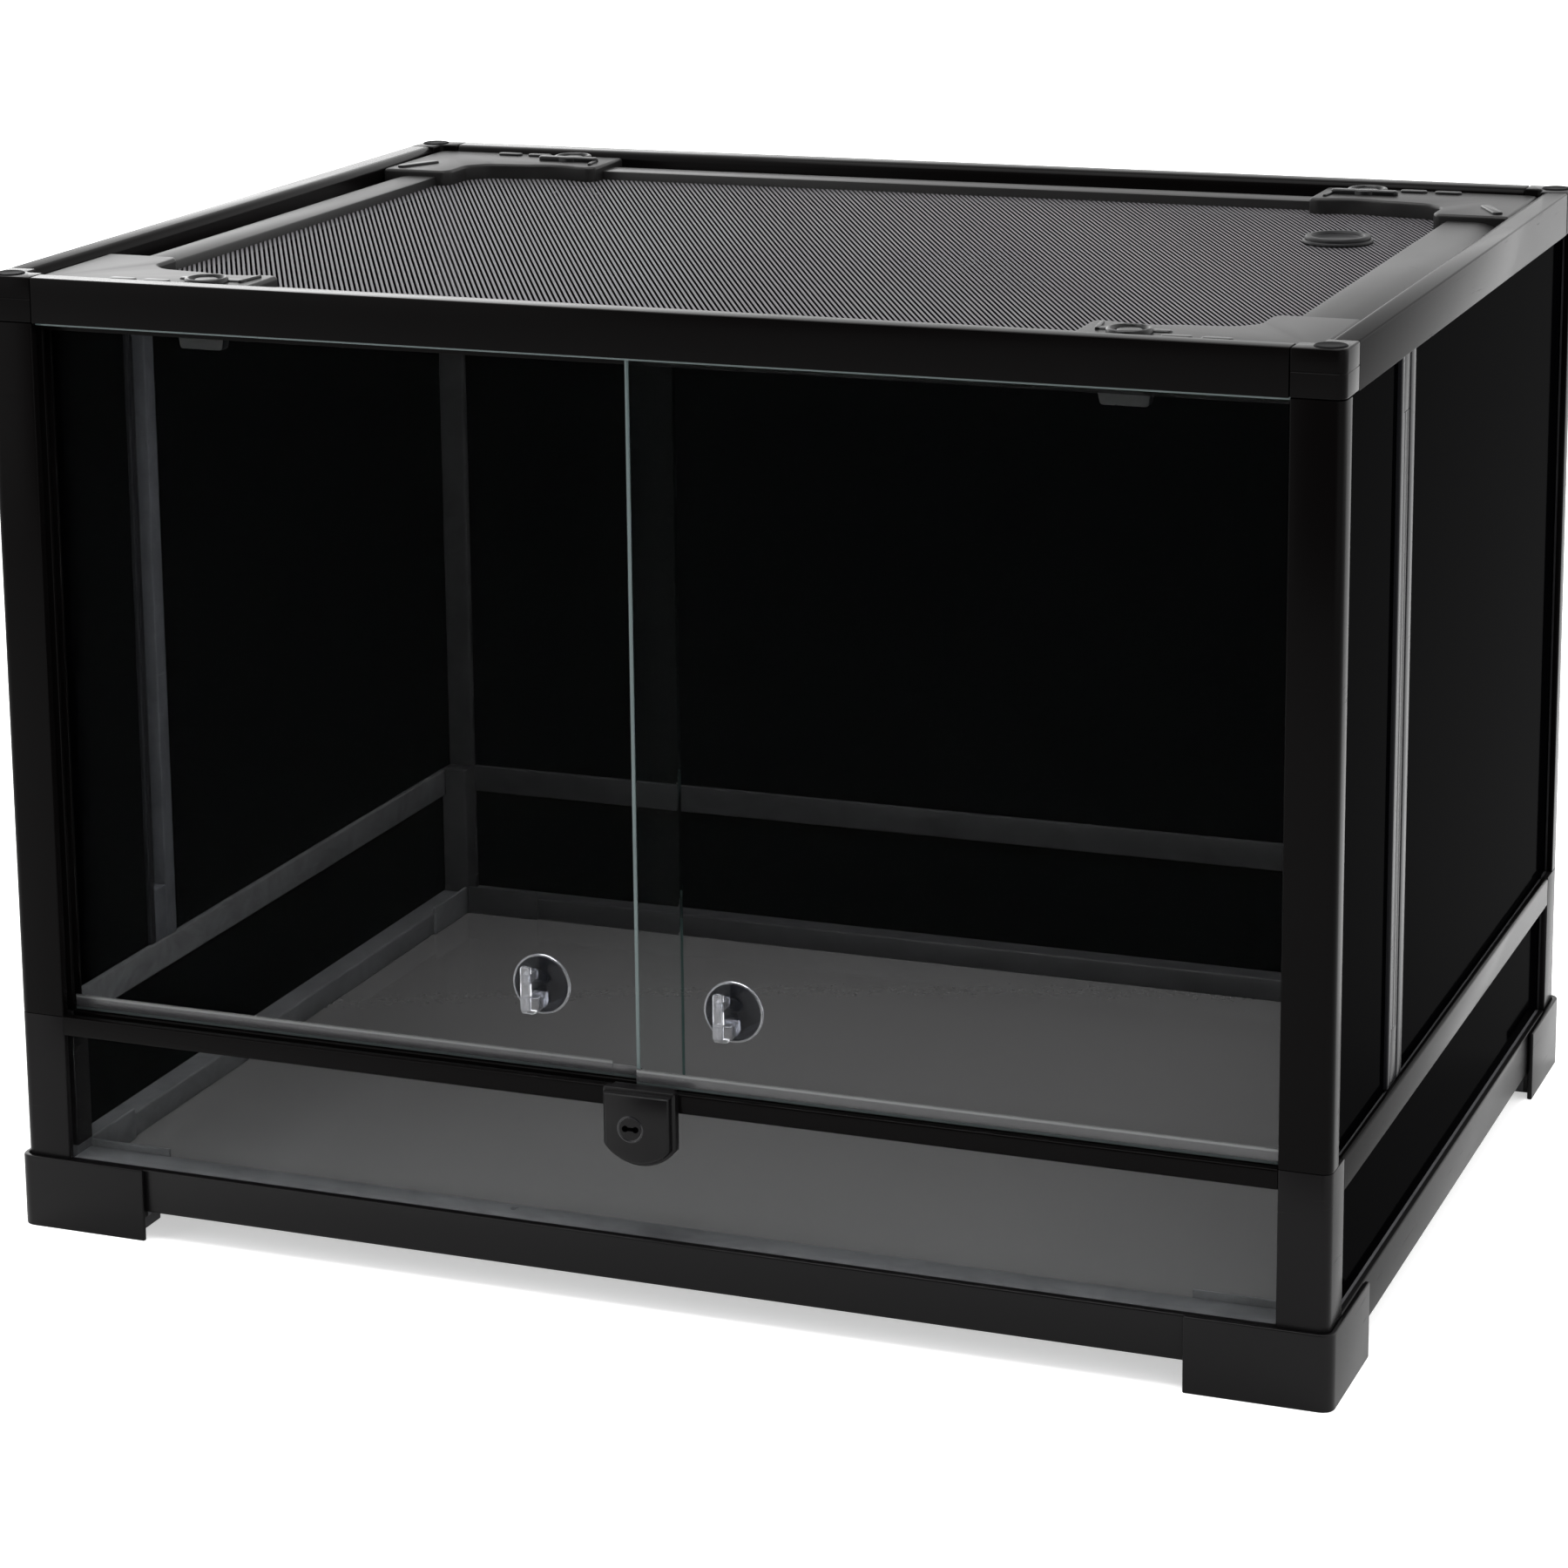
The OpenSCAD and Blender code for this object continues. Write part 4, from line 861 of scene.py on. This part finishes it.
def build_floor(shade):
    """A pale floor that is seen white: it glows for the camera, less under the enclosure than away from it,
    and a little for rays that pass through glass or are mirrored."""
    mesh = bpy.data.meshes.new("stage_floor")
    mesh.from_pydata([(-9, -9, 0), (9, -9, 0), (9, 9, 0), (-9, 9, 0)], [], [(0, 1, 2, 3)])
    floor = bpy.data.objects.new("stage_floor", mesh)
    bpy.context.scene.collection.objects.link(floor)
    m, n, shader = new_material("stage_pale")
    ray = n.add("LightPath").outputs
    reach = n.add("VectorMath", {0: n.place()}, operation="LENGTH").outputs["Value"]
    glow = n.math("MULTIPLY", ray["Is Camera Ray"], n.remap(reach, 0.35, 1.5, 0.5, 1.0, smooth=True))
    glow = n.math("MULTIPLY_ADD", ray["Is Transmission Ray"], 0.1, glow)
    glow = n.math("MULTIPLY_ADD", ray["Is Glossy Ray"], 0.15, glow)
    n.feed(shader, {"Base Color": (shade, shade, shade, 1), "Roughness": 0.95, "Specular IOR Level": 0.0,
                    "Emission Color": WHITE, "Emission Strength": glow})
    mesh.materials.append(m)


def build_world(strength):
    """The surround: plain white where it is seen, straight on or through glass. As light it is brighter
    behind the enclosure, to both sides of it and overhead."""
    world = bpy.data.worlds.new("studio")
    bpy.context.scene.world = world
    world.use_nodes = True
    n = Nodes(world.node_tree)
    x, y, z = n.axes(n.add("TexCoord").outputs["Generated"])
    level = 0.03
    for axis, start, end, amount in ((y, -0.15, 0.55, 1.3), (x, 0.2, 0.8, 1.75), (x, -0.31, -0.52, 2.2),
                                     (z, 0.55, 0.95, 0.5)):
        level = n.math("ADD", n.remap(axis, start, end, 0.0, amount, smooth=True), level)
    light = world.node_tree.nodes["Background"]
    n.feed(light, {"Color": WHITE, "Strength": n.math("MULTIPLY", level, strength)})
    ray = n.add("LightPath").outputs
    seen = n.math("MAXIMUM", ray["Is Camera Ray"], ray["Is Transmission Ray"])
    n.surface(seen, light, n.add("Background", {"Color": WHITE, "Strength": 1.0}))


def build_lamps(power):
    """A large lamp overhead, which lights the chamber through the mesh, and a weak one in front."""
    area("overhead", (-0.1, -0.3, 1.9), (0, 0.1, 0.1), (1.6, 1.4), power)
    area("front_soft", (1.1, -1.6, 1.2), (-0.1, 0.0, 0.1), (1.2, 0.9), 1)


def build_camera():
    """A long lens from the front right and above. Its angles are in radians. Its lens and shift are worked
    out from a focal length and a centre in the pixels of a square image."""
    azimuth, elevation, roll = 0.3937, 0.21897, -0.0159
    focal, centre_x, centre_y, image, sensor = 5125.35, 760.0, 600.0, 1800.0, 36.0
    sa, ca, se, ce = math.sin(azimuth), math.cos(azimuth), math.sin(elevation), math.cos(elevation)
    ahead = np.array([-sa * ce, ca * ce, -se])
    level = np.array([ca, sa, 0.0])
    right = math.cos(roll) * level + math.sin(roll) * np.cross(level, ahead)
    data = bpy.data.cameras.new("view")
    data.sensor_width = sensor
    data.sensor_fit = "HORIZONTAL"
    data.lens = focal * sensor / image
    data.shift_x = (image / 2 - centre_x) / image
    data.shift_y = (centre_y - image / 2) / image
    data.clip_end = 50
    camera = bpy.data.objects.new("view", data)
    camera.matrix_world = facing(right, ahead, (0.70165, -1.87651, 0.745504))
    bpy.context.scene.collection.objects.link(camera)
    bpy.context.scene.camera = camera


# --- add-on


class TerrariumSettings(bpy.types.PropertyGroup):
    """Sizes and colours that a user would change."""

    frame_colour: bpy.props.FloatVectorProperty(
        name="Frame colour", description="Colour of the posts and rails",
        default=(0.0014, 0.0012, 0.0012), min=0.0, max=1.0, subtype="COLOR")
    foot_colour: bpy.props.FloatVectorProperty(
        name="Foot colour", description="Colour of the feet, the bottom rails and the lock housing",
        default=(0.0026, 0.0024, 0.0026), min=0.0, max=1.0, subtype="COLOR")
    lid_colour: bpy.props.FloatVectorProperty(
        name="Lid colour", description="Colour of the lid's rails",
        default=(0.007, 0.0068, 0.0068), min=0.0, max=1.0, subtype="COLOR")
    floor_colour: bpy.props.FloatVectorProperty(
        name="Floor colour", description="Colour seen through the floor panel",
        default=(0.078, 0.076, 0.077), min=0.0, max=0.9, subtype="COLOR")
    handle_tint: bpy.props.FloatVectorProperty(
        name="Handle tint", description="Colour of the light that passes through the suction handles",
        default=(0.80, 0.81, 0.85), min=0.0, max=1.0, subtype="COLOR")
    mesh_pitch: bpy.props.FloatProperty(
        name="Mesh pitch", description="Distance between the lines of holes in the mesh",
        default=0.0022, min=0.001, max=0.01, subtype="DISTANCE", unit="LENGTH")
    runner_height: bpy.props.FloatProperty(
        name="Door strip height", description="Height of the clear strip on the foot of each door",
        default=0.007, min=0.004, max=0.01, subtype="DISTANCE", unit="LENGTH")
    floor_shade: bpy.props.FloatProperty(
        name="Studio floor shade", description="Paleness of the studio floor",
        default=0.8, min=0.1, max=1.0, subtype="FACTOR")
    world_strength: bpy.props.FloatProperty(
        name="Surround light", description="Strength of the light from all round",
        default=1.0, min=0.0, max=2.0, subtype="FACTOR")
    lamp_power: bpy.props.FloatProperty(
        name="Lamp power", description="Power of the overhead lamp",
        default=46.0, min=0.0, max=200.0, subtype="POWER", unit="POWER")


class TERRARIUM_OT_bottom(bpy.types.Operator):
    """Builds the bottom rails and the feet, and finishes the floor panel"""

    bl_idname = "terrarium.bottom"
    bl_label = "Bottom frame"

    def execute(self, context):
        build_bottom()
        return {"FINISHED"}


class TERRARIUM_OT_posts(bpy.types.Operator):
    """Builds the posts and the middle rails"""

    bl_idname = "terrarium.posts"
    bl_label = "Posts"

    def execute(self, context):
        build_posts()
        return {"FINISHED"}


class TERRARIUM_OT_tracks(bpy.types.Operator):
    """Builds the door tracks"""

    bl_idname = "terrarium.tracks"
    bl_label = "Door tracks"

    def execute(self, context):
        build_tracks()
        return {"FINISHED"}


class TERRARIUM_OT_top(bpy.types.Operator):
    """Builds the top rails and corners"""

    bl_idname = "terrarium.top"
    bl_label = "Top frame"

    def execute(self, context):
        build_top()
        return {"FINISHED"}


class TERRARIUM_OT_vents(bpy.types.Operator):
    """Builds the vent bars"""

    bl_idname = "terrarium.vents"
    bl_label = "Vents"

    def execute(self, context):
        build_vents()
        return {"FINISHED"}


class TERRARIUM_OT_glass(bpy.types.Operator):
    """Builds the doors, their strips and the clear low pane, and finishes the black glass"""

    bl_idname = "terrarium.glass"
    bl_label = "Glass"

    def execute(self, context):
        build_glass(context.scene.terrarium.runner_height / MM)
        return {"FINISHED"}


class TERRARIUM_OT_handles(bpy.types.Operator):
    """Builds the suction handles"""

    bl_idname = "terrarium.handles"
    bl_label = "Handles"

    def execute(self, context):
        build_handles()
        return {"FINISHED"}


class TERRARIUM_OT_lock(bpy.types.Operator):
    """Builds the lock"""

    bl_idname = "terrarium.lock"
    bl_label = "Lock"

    def execute(self, context):
        build_lock()
        return {"FINISHED"}


class TERRARIUM_OT_lid(bpy.types.Operator):
    """Builds the lid rails"""

    bl_idname = "terrarium.lid"
    bl_label = "Lid rails"

    def execute(self, context):
        build_lid()
        return {"FINISHED"}


class TERRARIUM_OT_lid_corners(bpy.types.Operator):
    """Builds the lid corners and their studs"""

    bl_idname = "terrarium.lid_corners"
    bl_label = "Lid corners"

    def execute(self, context):
        build_lid_corners()
        return {"FINISHED"}


class TERRARIUM_OT_latches(bpy.types.Operator):
    """Builds the latches"""

    bl_idname = "terrarium.latches"
    bl_label = "Latches"

    def execute(self, context):
        build_latches()
        return {"FINISHED"}


class TERRARIUM_OT_mesh(bpy.types.Operator):
    """Builds the lid's mesh and its grommet"""

    bl_idname = "terrarium.mesh"
    bl_label = "Lid mesh"

    def execute(self, context):
        build_mesh()
        return {"FINISHED"}


class TERRARIUM_OT_stage(bpy.types.Operator):
    """Builds the floor, the surround, the lamps and the camera"""

    bl_idname = "terrarium.stage"
    bl_label = "Stage"

    def execute(self, context):
        settings = context.scene.terrarium
        context.scene.view_settings.view_transform = "Standard"
        build_floor(settings.floor_shade)
        build_world(settings.world_strength)
        build_lamps(settings.lamp_power)
        build_camera()
        return {"FINISHED"}


OPERATORS = [
    TERRARIUM_OT_bottom, TERRARIUM_OT_posts, TERRARIUM_OT_tracks, TERRARIUM_OT_top, TERRARIUM_OT_vents,
    TERRARIUM_OT_glass, TERRARIUM_OT_handles, TERRARIUM_OT_lock, TERRARIUM_OT_lid, TERRARIUM_OT_lid_corners,
    TERRARIUM_OT_latches, TERRARIUM_OT_mesh, TERRARIUM_OT_stage,
]


class TERRARIUM_PT_panel(bpy.types.Panel):
    """The settings, and a button for each step, in the order in which they run"""

    bl_label = "Terrarium"
    bl_idname = "TERRARIUM_PT_panel"
    bl_space_type = "VIEW_3D"
    bl_region_type = "UI"
    bl_category = "Terrarium"

    def draw(self, context):
        for name in TerrariumSettings.__annotations__:
            self.layout.prop(context.scene.terrarium, name)
        for operator in OPERATORS:
            self.layout.operator(operator.bl_idname)


CLASSES = [TerrariumSettings, *OPERATORS, TERRARIUM_PT_panel]


def register():
    for cls in CLASSES:
        bpy.utils.register_class(cls)
    bpy.types.Scene.terrarium = bpy.props.PointerProperty(type=TerrariumSettings)


def unregister():
    del bpy.types.Scene.terrarium
    for cls in reversed(CLASSES):
        bpy.utils.unregister_class(cls)


def main():
    register()
    for operator in OPERATORS:
        getattr(bpy.ops.terrarium, operator.bl_idname.split(".")[1])()


if __name__ == "__main__":
    main()
